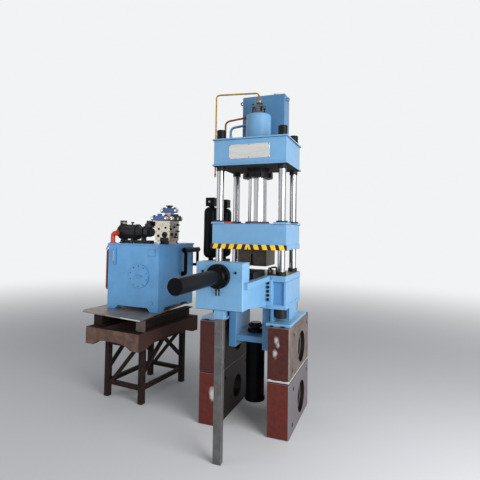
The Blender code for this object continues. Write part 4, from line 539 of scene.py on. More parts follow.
def block(bm, lo, hi, place, shrink=0.0):
    """Adds a box from lo to hi, its top drawn in by shrink on each side."""
    corners = []
    for z, inset in ((lo[2], 0.0), (hi[2], shrink)):
        x0, x1, y0, y1 = lo[0] + inset, hi[0] - inset, lo[1] + inset, hi[1] - inset
        rim = ((x0, y0), (x1, y0), (x1, y1), (x0, y1))
        corners.append([bm.verts.new(place @ Vector((x, y, z))) for x, y in rim])
    low, high = corners
    bm.faces.new(low[::-1])
    bm.faces.new(high)
    for i in range(4):
        j = (i + 1) % 4
        bm.faces.new((low[i], low[j], high[j], high[i]))


def plate(bm, outline, z0, z1, place):
    """Adds a flat plate of an outline in x and y, from z0 to z1."""
    low = [bm.verts.new(place @ Vector((x, y, z0))) for x, y in outline]
    high = [bm.verts.new(place @ Vector((x, y, z1))) for x, y in outline]
    bm.faces.new(low[::-1])
    bm.faces.new(high)
    for i in range(len(outline)):
        j = (i + 1) % len(outline)
        bm.faces.new((low[i], low[j], high[j], high[i]))


def tube(bm, path, radii, sides=10):
    """Adds a closed tube along a path, with one radius or one for each point."""
    points = [Vector(p) for p in path]
    if not hasattr(radii, "__len__"):
        radii = [radii] * len(points)
    side = None
    rings = []
    for i, point in enumerate(points):
        ahead = (points[min(i + 1, len(points) - 1)] - points[max(i - 1, 0)]).normalized()
        if side is None:
            side = ahead.orthogonal().normalized()
        side = (side - ahead * side.dot(ahead)).normalized()
        other = ahead.cross(side)
        turn = [2 * math.pi * k / sides for k in range(sides)]
        rings.append([bm.verts.new(point + (side * math.cos(a) + other * math.sin(a)) * radii[i])
            for a in turn])
    for low, high in zip(rings, rings[1:]):
        for k in range(sides):
            j = (k + 1) % sides
            bm.faces.new((low[k], low[j], high[j], high[k]))
    bm.faces.new(rings[0][::-1])
    bm.faces.new(rings[-1])


def arc_route(corners, radius, steps=6):
    """A path through the corners with each bend rounded to that radius."""
    points = [Vector(c) for c in corners]
    route = [points[0]]
    for before, here, after in zip(points, points[1:], points[2:]):
        back = (before - here).normalized()
        on = (after - here).normalized()
        half = back.angle(on) / 2
        reach = radius / math.tan(half)
        centre = here + (back + on).normalized() * (radius / math.sin(half))
        start = here + back * reach - centre
        end = here + on * reach - centre
        route.extend(centre + start.slerp(end, k / steps).normalized() * radius for k in range(steps + 1))
    route.append(points[-1])
    return route


def screw(bm, place, radius, height):
    """Adds a socket head cap screw standing on z = 0, with a hexagon socket."""
    profile = ((0, height * 0.45), (radius * 0.55, height * 0.45, 6), (radius * 0.55, height, 6),
        (radius * 0.88, height), (radius, height * 0.88), (radius, -MM), (0, -MM))
    lathe(bm, profile, place)


def hex_bolt(bm, place, radius, height):
    """Adds a hexagon head with a chamfered top on a round washer."""
    washer = height * 0.22
    profile = ((0, height), (radius * 0.78, height), (radius, height * 0.85, 6), (radius, washer, 6),
        (radius * 1.25, washer), (radius * 1.25, -MM), (0, -MM))
    lathe(bm, profile, place)


def weld(bm, start, end, radius, place=GROUND, pitch=4.5 * MM):
    """Adds a rippled weld bead along a straight line."""
    a, b = place @ Vector(start), place @ Vector(end)
    count = max(int((b - a).length / pitch) * 2, 6)
    path, radii = [], []
    for i in range(count + 1):
        share = i / count
        path.append(a.lerp(b, share))
        swell = 0.90 + 0.10 * (i % 2) + 0.08 * math.sin(i * 0.83) * math.sin(i * 0.29)
        radii.append(radius * swell * (0.55 if i in (0, count) else 1.0))
    tube(bm, path, radii, 8)


def piece(name, bm, look, body="press", bevel=0.0, sharp=32.0):
    """An object from bm, whose points are in the row frame, on a body, with a finish."""
    bmesh.ops.recalc_face_normals(bm, faces=bm.faces)
    mesh = bpy.data.meshes.new(name)
    bm.to_mesh(mesh)
    bm.free()
    mesh.polygons.foreach_set("use_smooth", [True] * len(mesh.polygons))
    mesh.set_sharp_from_angle(angle=math.radians(sharp))
    mesh.materials.append(finish(look))
    obj = bpy.data.objects.new(name, mesh)
    bpy.context.scene.collection.objects.link(obj)
    if bevel:
        rounding = obj.modifiers.new("rounding", "BEVEL")
        rounding.width = bevel
        rounding.segments = 2
        rounding.limit_method = "ANGLE"
        rounding.harden_normals = True
    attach(obj, body)
    return obj


def lathed(name, profile, place, look, sides, node=None, body="press", ring=False):
    """A turned piece, which stands for a coarse solid where a node is given."""
    bm = bmesh.new()
    lathe(bm, profile, place, sides, ring)
    obj = piece(name, bm, look, body)
    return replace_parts(obj, node) if node else obj


def at(place, x, y, z, facing="+Z"):
    """The place of a fastener: a point of a frame, with z turned to face that way."""
    return place @ Matrix.Translation((x, y, z)) @ TURNS[facing]


def spread(low, high, count):
    """That many evenly spaced values from low to high."""
    return [low + (high - low) * i / (count - 1) for i in range(count)]


def levels(node):
    """The lowest and the highest level of a solid."""
    return [corner.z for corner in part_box(node)]


def outline_of(x0, x1, z0, z1):
    """The corners of a flat rectangle."""
    return ((x0, z0), (x1, z0), (x1, z1), (x0, z1))


def circle(radius, count, first):
    """That many evenly spaced points on a circle, from an angle in degrees."""
    turns = [math.radians(first + 360 / count * i) for i in range(count)]
    return [(radius * math.cos(a), radius * math.sin(a)) for a in turns]


def four(x, y):
    """The corners of a rectangle round the origin."""
    return [(sx, sy) for sx in (-x, x) for sy in (-y, y)]


def facing_front(y):
    """The frame of a flat plate that stands at y: its x is across, its y is up and its z is forward."""
    return Matrix(((1, 0, 0, 0), (0, 0, -1, y), (0, 1, 0, 0), (0, 0, 0, 1)))


def mm(*points):
    """A turned profile that is given in millimetres."""
    return [(radius * MM, height * MM, *corners) for radius, height, *corners in points]


def rod(radius, z0, z1):
    """The profile of a plain round bar."""
    return ((0, z0), (radius, z0), (radius, z1), (0, z1))


def boss(radius, height):
    """The profile of a round boss with a rounded rim."""
    return ((0, 0), (radius, 0), (radius, height - MM), (radius - MM, height), (0, height))


def disc(radius, height):
    """The profile of a flange with both rims rounded."""
    return ((0, 0), (radius - MM, 0), (radius, MM), (radius, height - MM), (radius - MM, height), (0, height))


def colour(name, description, value):
    return FloatVectorProperty(name=name, description=description, subtype="COLOR", size=4, min=0, max=1,
        default=linear(value))


def lamp_power(name, description, watts):
    return FloatProperty(name=name, description=description, default=watts, min=0, subtype="POWER",
        unit="POWER")


def distance(name, description, metres):
    return FloatProperty(name=name, description=description, default=metres, unit="LENGTH")


class StageSettings(bpy.types.PropertyGroup):
    """The floor, the background and the lamps."""

    floor: colour("Floor", "Colour of the floor", "D9DADC")
    background: colour("Background", "Colour seen behind the press", "F2F3F4")
    sky: FloatProperty(name="Sky level", description="Strength of the even light from all round", default=0.42,
        min=0)
    key: lamp_power("Key lamp", "Power of the large lamp at the right", 370.0)
    fill: lamp_power("Fill lamp", "Power of the large lamp at the left front", 80.0)


class FastenerSizes(bpy.types.PropertyGroup):
    """Head sizes of the screws and bolts, and the weld bead."""

    large: distance("Large head", "Head radius of the bracket's screws", 15 * MM)
    medium: distance("Medium head", "Head radius of the flange screws", 9 * MM)
    small: distance("Small head", "Head radius of cover and valve screws", 5 * MM)
    bead: distance("Weld bead", "Radius of the painted weld beads", 4 * MM)


class HazardStripes(bpy.types.PropertyGroup):
    """The painted band along the platen's front edge."""

    count: IntProperty(name="Stripes", description="Yellow stripes across the band", default=9, min=3)
    height: distance("Height", "Height of the band", 55 * MM)
    lean: distance("Lean", "How far a stripe's top leans over its foot", 18 * MM)
    width: distance("Width", "Width of a yellow stripe", 54 * MM)
    pitch: distance("Pitch", "From one stripe to the next", 93.1 * MM)


class PressDresser(bpy.types.PropertyGroup):
    """All the settings of this add-on."""

    stage: PointerProperty(type=StageSettings)
    heads: PointerProperty(type=FastenerSizes)
    hazard: PointerProperty(type=HazardStripes)


class PRESS_OT_stage(bpy.types.Operator):
    """Sets the camera, the floor, the background and the lamps"""

    bl_idname = "press.stage"
    bl_label = "Stage"

    def execute(self, context):
        settings = context.scene.press_dresser.stage
        self.make_camera(context)
        self.make_floor(settings)
        self.make_world(context, settings)
        self.make_lamp("key", KEY_OFF, KEY_SIZE, settings.key)
        self.make_lamp("fill", FILL_OFF, FILL_SIZE, settings.fill)
        context.scene.view_settings.view_transform = "Standard"
        return {"FINISHED"}

    def make_camera(self, context):
        yaw, pitch, roll = (math.radians(a) for a in (CAMERA_YAW, CAMERA_PITCH, CAMERA_ROLL))
        ahead = Vector((-math.sin(yaw) * math.cos(pitch), math.cos(yaw) * math.cos(pitch), math.sin(pitch)))
        right = Vector((math.cos(yaw), math.sin(yaw), 0.0))
        up = right.cross(ahead)
        rolled_right = right * math.cos(roll) + up * math.sin(roll)
        rolled_up = up * math.cos(roll) - right * math.sin(roll)
        turn = Matrix((rolled_right, rolled_up, -ahead)).transposed().to_4x4()
        data = bpy.data.cameras.new("camera")
        data.sensor_width = CAMERA_SENSOR
        data.lens = CAMERA_LENS
        data.shift_y = CAMERA_SHIFT_Y
        camera = bpy.data.objects.new("camera", data)
        camera.matrix_world = Matrix.Translation(PRESS @ Vector(CAMERA_AT)) @ turn
        context.scene.collection.objects.link(camera)
        context.scene.camera = camera

    def make_floor(self, settings):
        bm = bmesh.new()
        bmesh.ops.create_circle(bm, cap_ends=True, radius=FLOOR_R, segments=96)
        mesh = bpy.data.meshes.new("floor")
        bm.to_mesh(mesh)
        bm.free()
        floor = bpy.data.objects.new("floor", mesh)
        floor.location.z = -MM
        bpy.context.scene.collection.objects.link(floor)
        mat = bpy.data.materials.new("pale_floor")
        g = Graph(mat)
        g.tree.nodes.clear()
        far = g.vector("LENGTH", g.add("TexCoord")["Object"], result="Value")
        fade = g.ramp(far, FADE_START, FADE_END, interpolation_type="SMOOTHSTEP")
        matt = g.add("BsdfDiffuse", {"Color": settings.floor})["BSDF"]
        pale = g.add("Emission", {"Color": settings.background})["Emission"]
        mixed = g.add("MixShader", {0: g.both(fade, g.seen()), 1: matt, 2: pale})["Shader"]
        g.add("OutputMaterial", {"Surface": mixed})
        mesh.materials.append(mat)

    def make_world(self, context, settings):
        world = bpy.data.worlds.new("pale_world")
        g = Graph(world)
        g.tree.nodes.clear()
        sky = g.add("Background", {"Color": linear(SKY), "Strength": settings.sky})["Background"]
        pale = g.add("Background", {"Color": settings.background, "Strength": 1.0})["Background"]
        mixed = g.add("MixShader", {0: g.seen(), 1: sky, 2: pale})["Shader"]
        g.add("OutputWorld", {"Surface": mixed})
        context.scene.world = world

    def make_lamp(self, name, off, size, power):
        middle = PRESS @ Vector(AIM)
        where = middle + Vector(off)
        data = bpy.data.lights.new(name, "AREA")
        data.shape = "DISK"
        data.size = size
        data.energy = power
        lamp = bpy.data.objects.new(name, data)
        lamp.location = where
        lamp.rotation_euler = (middle - where).to_track_quat("-Z", "Y").to_euler()
        bpy.context.scene.collection.objects.link(lamp)


class PRESS_OT_finishes(bpy.types.Operator):
    """Gives every solid of the frame its finish"""

    bl_idname = "press.finishes"
    bl_label = "Finishes"

    groups = {
        "sprayed_blue_enamel": ("bed", "crown", "main_cylinder", "blue_pipe", "platen", "bracket",
            "shot_frame"),
        "sprayed_deep_blue": ("tank", "tank_lid", "inspection_cover", "level_gauge"),
        "shade_darkened_blue": ("oil_box",),
        "ground_chrome_column": ("column_front_left", "column_front_right", "column_rear_left",
            "column_rear_right"),
        "ground_chrome_rod": ("ram", "carriage_rod"),
        "black_oxide_steel": ("top_nut_front_left", "top_nut_front_right", "top_nut_rear_left",
            "top_nut_rear_right", "cylinder_gland", "carriage", "shot_coupling"),
        "black_enamel": ("side_cylinder", "accumulator_front", "accumulator_rear", "accumulator_manifold",
            "shot_cylinder", "return_filter"),
        "charcoal_cast_iron": ("motor", "pump", "valve_side"),
        "valve_blue_enamel": ("valve_lower", "valve_upper"),
        "forged_die_steel": ("die_block",),
        "primed_crossbeam_steel": ("stand_left_lower", "stand_left_upper", "stand_right_lower",
            "stand_right_upper"),
        "mill_scale_steel": ("prop_post",),
        "walked_deck_plate": ("deck_plate",),
        "rusted_section_steel": ("spacer_left", "spacer_right", "trestle_front", "trestle_left", "trestle_rear",
            "trestle_right", "trestle_top"),
        "milled_manifold": ("valve_block",),
        "grey_enamel": ("prefill_valve",),
        "dull_steel": ("valve_fitting",),
        "drawn_brass_tube": ("brass_pipe",),
        "dark_red_enamel": ("red_pipe", "side_pipe"),
        "orange_red_enamel": ("suction_elbow",),
        "brushed_stainless": ("nameplate",),
        "moulded_white_cap": ("oil_box_cap", "breather"),
    }

    def execute(self, context):
        dressed = set()
        for name, nodes in self.groups.items():
            for node in nodes:
                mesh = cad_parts[node].data
                mesh.materials.clear()
                mesh.materials.append(finish(name))
                dressed.add(node)
        bare = sorted(set(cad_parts) - dressed)
        if bare:
            raise RuntimeError(f"no finish for {bare}")
        return {"FINISHED"}


class PRESS_OT_hazard_stripes(bpy.types.Operator):
    """Adds the black and yellow band along the platen's front edge"""

    bl_idname = "press.hazard_stripes"
    bl_label = "Hazard stripes"

    def execute(self, context):
        settings = context.scene.press_dresser.hazard
        lo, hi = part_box("platen")
        paint = 0.5 * MM
        front = facing_front(lo.y)
        z0, z1 = lo.z + MM, lo.z + settings.height - MM
        bm = bmesh.new()
        plate(bm, outline_of(lo.x + MM, hi.x - MM, z0, z1), -MM, paint, front)
        piece("hazard_band", bm, "matt_black_enamel", "platen")
        bm = bmesh.new()
        middle = (lo.x + hi.x) / 2 + MM
        half = settings.width / 2
        centre = settings.count // 2
        for i in range(settings.count):
            x = middle + (i - centre) * settings.pitch
            lean = settings.lean / 2
            if i == centre:
                outline = ((x - half - lean, z0), (x - half * 0.35, z0), (x, z0 + (z1 - z0) * 0.5),
                    (x + half * 0.35, z0), (x + half + lean, z0), (x + half - lean, z1), (x - half + lean, z1))
            else:
                way = lean if i < centre else -lean
                outline = ((x - half - way, z0), (x + half - way, z0), (x + half + way, z1),
                    (x - half + way, z1))
            outline = [(min(max(u, lo.x + MM), hi.x - MM), v) for u, v in outline]
            plate(bm, outline, 0.0, 2 * paint, front)
        piece("hazard_stripes", bm, "signal_yellow_enamel", "platen")
        return {"FINISHED"}


class PRESS_OT_turned_parts(bpy.types.Operator):
    """Puts finely turned pieces in place of the coarse round solids"""

    bl_idname = "press.turned_parts"
    bl_label = "Turned parts"

    def execute(self, context):
        self.make_columns()
        self.make_ram_and_barrel()
        self.make_side_cylinder()
        self.make_shot_end()
        self.make_bottles()
        return {"FINISHED"}

    def make_columns(self):
        head, table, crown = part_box("shot_frame")[1].z, TABLE_Z - SPOT_FACE_D + GAP, CROWN_Z - GAP
        r, foot, collar, top, e = COLUMN_R * ROUND, LOW_NUT_R, TABLE_COLLAR_R, CROWN_COLLAR_R, 2 * MM
        upper, lower = TABLE_Z + TABLE_COLLAR_H, crown - CROWN_COLLAR_H
        for x, y, tag in COLUMNS:
            low, high = levels("column_" + tag)
            place = at(PRESS, x, y, 0)
            profile = ((0, low), (foot - e, low), (foot, low + e), (foot, head - e), (foot - e, head),
                (r, head), (r, table), (collar, table), (collar, upper - e), (collar - e, upper), (r, upper),
                (r, lower), (top - e, lower), (top, lower + e), (top, crown), (r, crown), (r, high - e),
                (r - e, high), (0, high))
            lathed("column_turned_" + tag, profile, place, "ground_chrome_column", 48, "column_" + tag)
            bore, rim, (z0, z1) = COLUMN_R + GAP, TOP_NUT_R, levels("top_nut_" + tag)
            profile = ((bore, z0), (rim, z0), (rim, z1 - 2 * e), (rim - 1.5 * e, z1), (bore + e, z1),
                (bore, z1 - e))
            lathed("top_nut_turned_" + tag, profile, place, "black_oxide_steel", 48, "top_nut_" + tag,
                ring=True)

    def make_ram_and_barrel(self):
        low, high = levels("ram")
        r, flange, up = RAM_R * ROUND, RAM_FLANGE_R, low + RAM_FLANGE_H
        lathed("ram_turned", rod(r, up, high), PRESS, "ground_chrome_rod", 96, "ram", body="platen")
        lathed("ram_foot", ((0, low), (flange, low), (flange, up - 2 * MM), (flange - 2 * MM, up), (0, up)),
            PRESS, "red_oxide_primer", 64, body="platen")
        self.make_prefill_valve()
        low, high = levels("main_cylinder")
        r, c, bore = BARREL_R * ROUND, BARREL_CHAMFER, RAM_R + RUN_CLEAR
        crown = [(r - c + c * math.cos(a), high - c + c * math.sin(a)) for a in spread(0, math.pi / 2, 7)]
        profile = [(0, high - BARREL_TOP_T), (bore, high - BARREL_TOP_T), (bore, low), (r, low), *crown,
            (0, high)]
        lathed("main_cylinder_turned", profile, PRESS, "sprayed_blue_enamel", 96, "main_cylinder")
        low, high = levels("valve_fitting")
        ball = low + BALL_RISE
        round_part = [(BALL_R * math.cos(a), ball + BALL_R * math.sin(a)) for a in spread(-1.0, 1.0, 13)]
        profile = [(0, low), (FITTING_R, low, 6), (FITTING_R, low + 14 * MM, 6), (NECK_R, low + 15 * MM)]
        profile += round_part + [(NECK_R, high - 9 * MM), (NECK_R * 1.05, high - 8 * MM, 6),
            (NECK_R * 1.05, high, 6), (0, high)]
        lathed("valve_fitting_turned", profile, PRESS, "dull_steel", 48, "valve_fitting")

    def make_prefill_valve(self):
        """A round body between two plates that four tie rods hold together."""
        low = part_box("prefill_valve")[0].z
        top, tie = low + PREFILL_H, PREFILL_TIE
        bm = bmesh.new()
        foot, cap, r, waist = PREFILL_FOOT, PREFILL_CAP, PREFILL_R, PREFILL_WAIST
        block(bm, (-foot, -foot, low), (foot, foot, low + 24 * MM), PRESS, MM)
        block(bm, (-cap, -cap, top - 22 * MM), (cap, cap, top), PRESS, MM)
        body = ((0, low + 20 * MM), (r, low + 20 * MM), (r, low + 44 * MM), (waist, low + 46 * MM),
            (waist, top - 40 * MM), (r, top - 38 * MM), (r, top - 18 * MM), (0, top - 18 * MM))
        lathe(bm, body, PRESS, 48)
        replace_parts(piece("prefill_valve_built", bm, "grey_enamel"), "prefill_valve")
        bm = bmesh.new()
        for x, y in four(tie, tie):
            lathe(bm, rod(8 * MM, low + 20 * MM, top - 18 * MM), at(PRESS, x, y, 0), 16)
            screw(bm, at(PRESS, x, y, top), 12 * MM, 15 * MM)
        piece("prefill_tie_rods", bm, "black_oxide_steel")

    def make_side_cylinder(self):
        lo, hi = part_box("side_cylinder")
        e, cap, flange, r = 2 * MM, lo.y, SIDE_FLANGE_R, SIDE_BARREL_R
        length, face = hi.y - lo.y, SIDE_FLANGE_T
        place = at(GROUND, PRESS.translation.x, cap, SIDE_AXIS_Z, "+Y")
        bore = SIDE_ROD_R + RUN_CLEAR
        profile = ((0, 0), (r - e, 0), (r, e), (r, 0.034), (r * 0.985, 0.0345), (r * 0.985, 0.038), (r, 0.0385),
            (r, length - face - 12 * MM), (r + 12 * MM, length - face), (flange - e, length - face),
            (flange, length - face + e), (flange, length), (bore, length), (bore, SIDE_CAP_T), (0, SIDE_CAP_T))
        lathed("side_cylinder_turned", profile, place, "black_enamel", 96, "side_cylinder")
        bm = bmesh.new()
        axis, mid = PRESS.translation.x, hi.y - face / 2
        for side in (-1, 1):
            port = at(GROUND, axis + side * PORT_X, mid, SIDE_AXIS_Z - flange + 12 * MM, "-Z")
            reach = SIDE_AXIS_Z - flange + 12 * MM - lo.z
            lathe(bm, ((0, 0), (PORT_R, 0), (PORT_R, 18 * MM), (PORT_R * 1.45, 18.5 * MM, 6),
                (PORT_R * 1.45, 27 * MM, 6), (PORT_R, 28 * MM), (PORT_R, reach), (0, reach)), port, 24)
        piece("side_cylinder_ports", bm, "black_oxide_steel")
        lo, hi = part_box("carriage_rod")
        length, r, head = hi.y - lo.y, SIDE_ROD_R * ROUND, CARRIAGE_HEAD_R
        place = at(GROUND, PRESS.translation.x, lo.y, SIDE_AXIS_Z, "+Y")
        neck = length - CARRIAGE_HEAD_T
        profile = ((0, 0), (r - e, 0), (r, e), (r, neck), (head, neck, 6), (head, length - e, 6),
            (head - e, length), (0, length))
        lathed("carriage_rod_turned", profile, place, "ground_chrome_rod", 48, "carriage_rod", body="carriage")

    def make_shot_end(self):
        low, high = levels("shot_cylinder")
        r, flange, bore, e = SHOT_R * ROUND, SHOT_FLANGE_R, SHOT_ROD_R + RUN_CLEAR, 2 * MM
        ledge = high - SHOT_FLANGE_H
        foot, rim, bored = low + SHOT_FOOT_H, r + 8 * MM, low + SHOT_BORE_Z
        profile = ((0, low), (rim - e, low), (rim, low + e), (rim, foot - e), (rim - e, foot), (r, foot),
            (r, ledge), (flange - e, ledge), (flange, ledge + e), (flange, high - e), (flange - e, high),
            (bore, high), (bore, bored), (0, bored))
        lathed("shot_cylinder_turned", profile, PRESS, "black_enamel", 64, "shot_cylinder")
        low, high = levels("shot_coupling")
        r, waist, cap = COUPLING_R, COUPLING_WAIST_R, COUPLING_TOP_R
        base = high - COUPLING_H
        steps = ((r - e, 0), (r, e), (r, 0.033), (r - e, 0.035), (r - 6 * MM, 0.0415), (waist, 0.0455),
            (waist, 0.0565), (r * 0.90, 0.060), (r * 0.92, 0.062), (r * 0.92, 0.083), (r * 0.86, 0.087),
            (cap, 0.0895))
        profile = [(0, base)] + [(u, base + v) for u, v in steps]
        profile += [(cap, high - e), (cap - e, high), (0, high)]
        lathed("shot_coupling_turned", profile, PRESS, "black_oxide_steel", 64, "shot_coupling",
            body="shot_rod")
        lathed("shot_rod_turned", rod(SHOT_ROD_R * ROUND, low, base), PRESS, "ground_chrome_rod", 64,
            body="shot_rod")

    def make_bottles(self):
        for tag in ("front", "rear"):
            lo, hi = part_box("accumulator_" + tag)
            centre = (lo + hi) / 2
            place = at(GROUND, centre.x, centre.y, 0)
            top, neck = hi.z - HEAD_H - BOTTLE_NECK_H / 2, BOTTLE_NECK_R
            low, crown, swell = lo.z + BOTTLE_FOOT_H, BOTTLE_CROWN_H, BOTTLE_R * ROUND - neck
            quarter = spread(0.0, math.pi / 2, 10)
            profile = [(0, lo.z), (neck, lo.z), (neck, low)]
            profile += [(neck + swell * math.sin(a), low + crown * (1 - math.cos(a))) for a in quarter]
            profile += [(neck + swell * math.cos(a), top - crown * (1 - math.sin(a))) for a in quarter]
            profile += [(neck, top + 6 * MM), (neck * 1.5, top + 7 * MM, 6), (neck * 1.5, top + 20 * MM, 6),
                (0, top + 20 * MM)]
            lathed("bottle_" + tag, profile, place, "black_enamel", 64, "accumulator_" + tag)
            half = HEAD_SIZE / 2
            bm = bmesh.new()
            block(bm, (-half, -half, hi.z - HEAD_H), (half, half, hi.z), place)
            piece("bottle_head_" + tag, bm, "black_enamel", bevel=3 * MM)
            bm = bmesh.new()
            for x, y in four(half * 0.68, half * 0.68):
                screw(bm, at(place, x, y, hi.z), 7 * MM, -4 * MM)
            lathe(bm, mm((0, 30), (9, 30, 6), (9, 24, 6), (7, 23), (7, 12), (14, 11, 6), (14, -1, 6), (0, -1)),
                at(place, 0, -half, hi.z - HEAD_H / 2, "-Y"))
            piece("bottle_valve_" + tag, bm, "zinc_plated_steel")


class PRESS_OT_pipes(bpy.types.Operator):
    """Draws the bent pipes smoothly over the solids that they replace, with nuts at their ends"""

    bl_idname = "press.pipes"
    bl_label = "Pipes"

    def execute(self, context):
        self.make_press_pipes()
        self.make_unit_pipes()
        return {"FINISHED"}

    def drawn(self, name, corners, bend, radius, look, node, place=PRESS, extra=()):
        bm = bmesh.new()
        tube(bm, [place @ p for p in arc_route(corners, bend, 10)], radius, 20)
        for where, facing, profile in extra:
            lathe(bm, profile, at(place, *where, facing), 36)
        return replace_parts(piece(name, bm, look), node)

    def make_press_pipes(self):
        low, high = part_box("brass_pipe")
        z = low.z
        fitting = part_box("valve_fitting")[1].z + GAP
        run = high.z - BRASS_R
        sag = 0.030
        corners = ((0, 0, fitting), (0, 0, run - sag), (BRASS_X, 0, run), (BRASS_X, 0, z))
        self.drawn("brass_pipe_drawn", corners, 0.040, BRASS_R * ROUND, "drawn_brass_tube", "brass_pipe")
        bm = bmesh.new()
        nut = ((0, 0), (15 * MM, 0, 6), (15 * MM, 15 * MM, 6), (12 * MM, 17 * MM), (0, 17 * MM))
        lathe(bm, nut, at(PRESS, 0, 0, fitting), 36)
        lathe(bm, nut, at(PRESS, BRASS_X, 0, z + 22 * MM), 36)
        for x in (-0.16, -0.40):
            lathe(bm, rod(11.5 * MM, -3 * MM, 3 * MM), at(PRESS, x, 0, run - sag * (1 - x / BRASS_X), "+X"), 32)
        piece("brass_pipe_nuts", bm, "drawn_brass_tube")
        barrel_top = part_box("main_cylinder")[1].z
        foot = CROWN_TOP
        flange = disc(PIPE_FLANGE_R, PIPE_FLANGE_H)
        for name, x, y, r, drop, look in (("red_pipe", -0.392, -0.045, 0.011, 0.028, "dark_red_enamel"),
                ("blue_pipe", -0.375, 0.075, 0.014, 0.075, "sprayed_blue_enamel")):
            top = barrel_top - drop
            reach = math.sqrt(BARREL_R ** 2 - (abs(y) - r) ** 2)
            corners = ((-reach - GAP, y, top), (x, y, top - 0.028), (x, y, foot + PIPE_FLANGE_H / 2))
            collar = ((0, 0), (r * 1.6, 0, 6), (r * 1.6, 14 * MM, 6), (r * 1.2, 17 * MM), (0, 17 * MM))
            extra = [((x, y, foot), "+Z", flange), ((x, y, foot + PIPE_FLANGE_H), "+Z", collar),
                ((-reach - 2 * MM, y, top), "-X", collar)]
            self.drawn(name + "_drawn", corners, 0.055, r * ROUND, look, name, extra=extra)

    def make_unit_pipes(self):
        base = LID_TOP + GAP
        half_w, half_d = TANK_W / 2, TANK_D / 2
        x, y, r = ELBOW_IN - half_w, ELBOW_IN - half_d, ELBOW_R
        rise, reach, flange = base + ELBOW_RISE, x + ELBOW_REACH, disc(r + ELBOW_FLANGE, ELBOW_FLANGE)
        self.drawn("suction_elbow_drawn", ((x, y, base), (x, y, rise), (reach, y, rise)), r * 1.4, r * ROUND,
            "orange_red_enamel", "suction_elbow", UNIT, [((x, y, base), "+Z", flange),
            ((reach, y, rise), "+X", flange)])
        bm = bmesh.new()
        for dx, dy in circle(r + 5 * MM, 4, 45):
            hex_bolt(bm, at(UNIT, x + dx, y + dy, base + ELBOW_FLANGE), 4 * MM, 4 * MM)
        piece("suction_elbow_bolts", bm, "zinc_plated_steel")
        wall = -half_w - GAP
        x, y, r = wall - SIDE_PIPE_OUT, SIDE_PIPE_IN - half_d, SIDE_PIPE_R
        z0, z1 = TANK_Z + SIDE_PIPE_RISE, TANK_Z + TANK_H - SIDE_PIPE_DROP
        seat = boss(r * 1.5, PIPE_BOSS_H)
        self.drawn("side_pipe_drawn", ((wall, y, z0), (x, y, z0), (x, y, z1), (wall, y, z1)), r * 1.4,
            r * ROUND, "dark_red_enamel", "side_pipe", UNIT,
            [((wall, y, z0), "-X", seat), ((wall, y, z1), "-X", seat)])
        self.make_return_filter(half_w + GAP, half_d + GAP)

    def make_return_filter(self, wall, back):
        top = TANK_Z + TANK_H
        x, z, behind = wall + FILTER_OUT, top - FILTER_DROP, back + RETURN_BEHIND
        y0, y1, r = FILTER_START - TANK_D / 2, behind + RETURN_R * 1.3, FILTER_R * ROUND
        bm = bmesh.new()
        length, e = y1 - y0, 2 * MM
        lathe(bm, ((0, 0), (r - e, 0), (r, e), (r, 0.052), (r * 0.93, 0.054), (r * 0.93, length * 0.62),
            (r, length * 0.62 + e), (r, length - e), (r - e, length), (0, length)), at(UNIT, x, y0, z,
            "+Y"), 48)
        y, start = y0 + FILTER_LEG_R * 2, z - FILTER_R / 2
        low, lower, inner = top - FILTER_LEG_DROP, top - RETURN_DROP, wall - RETURN_IN
        leg = ((x, y, start), (x, y, low), (wall, y, low))
        pipe = ((x, behind, start), (x, behind, lower), (inner, behind, lower), (inner, back, lower))
        for corners, size in ((leg, FILTER_LEG_R), (pipe, RETURN_R)):
            tube(bm, [UNIT @ p for p in arc_route(corners, size * 1.4, 8)], size * ROUND, 24)
        for corners, facing, size in ((leg, "+X", FILTER_LEG_R), (pipe, "+Y", RETURN_R)):
            lathe(bm, boss(size * 1.6, PIPE_BOSS_H), at(UNIT, *corners[-1], facing), 32)
        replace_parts(piece("return_filter_turned", bm, "black_enamel"), "return_filter")


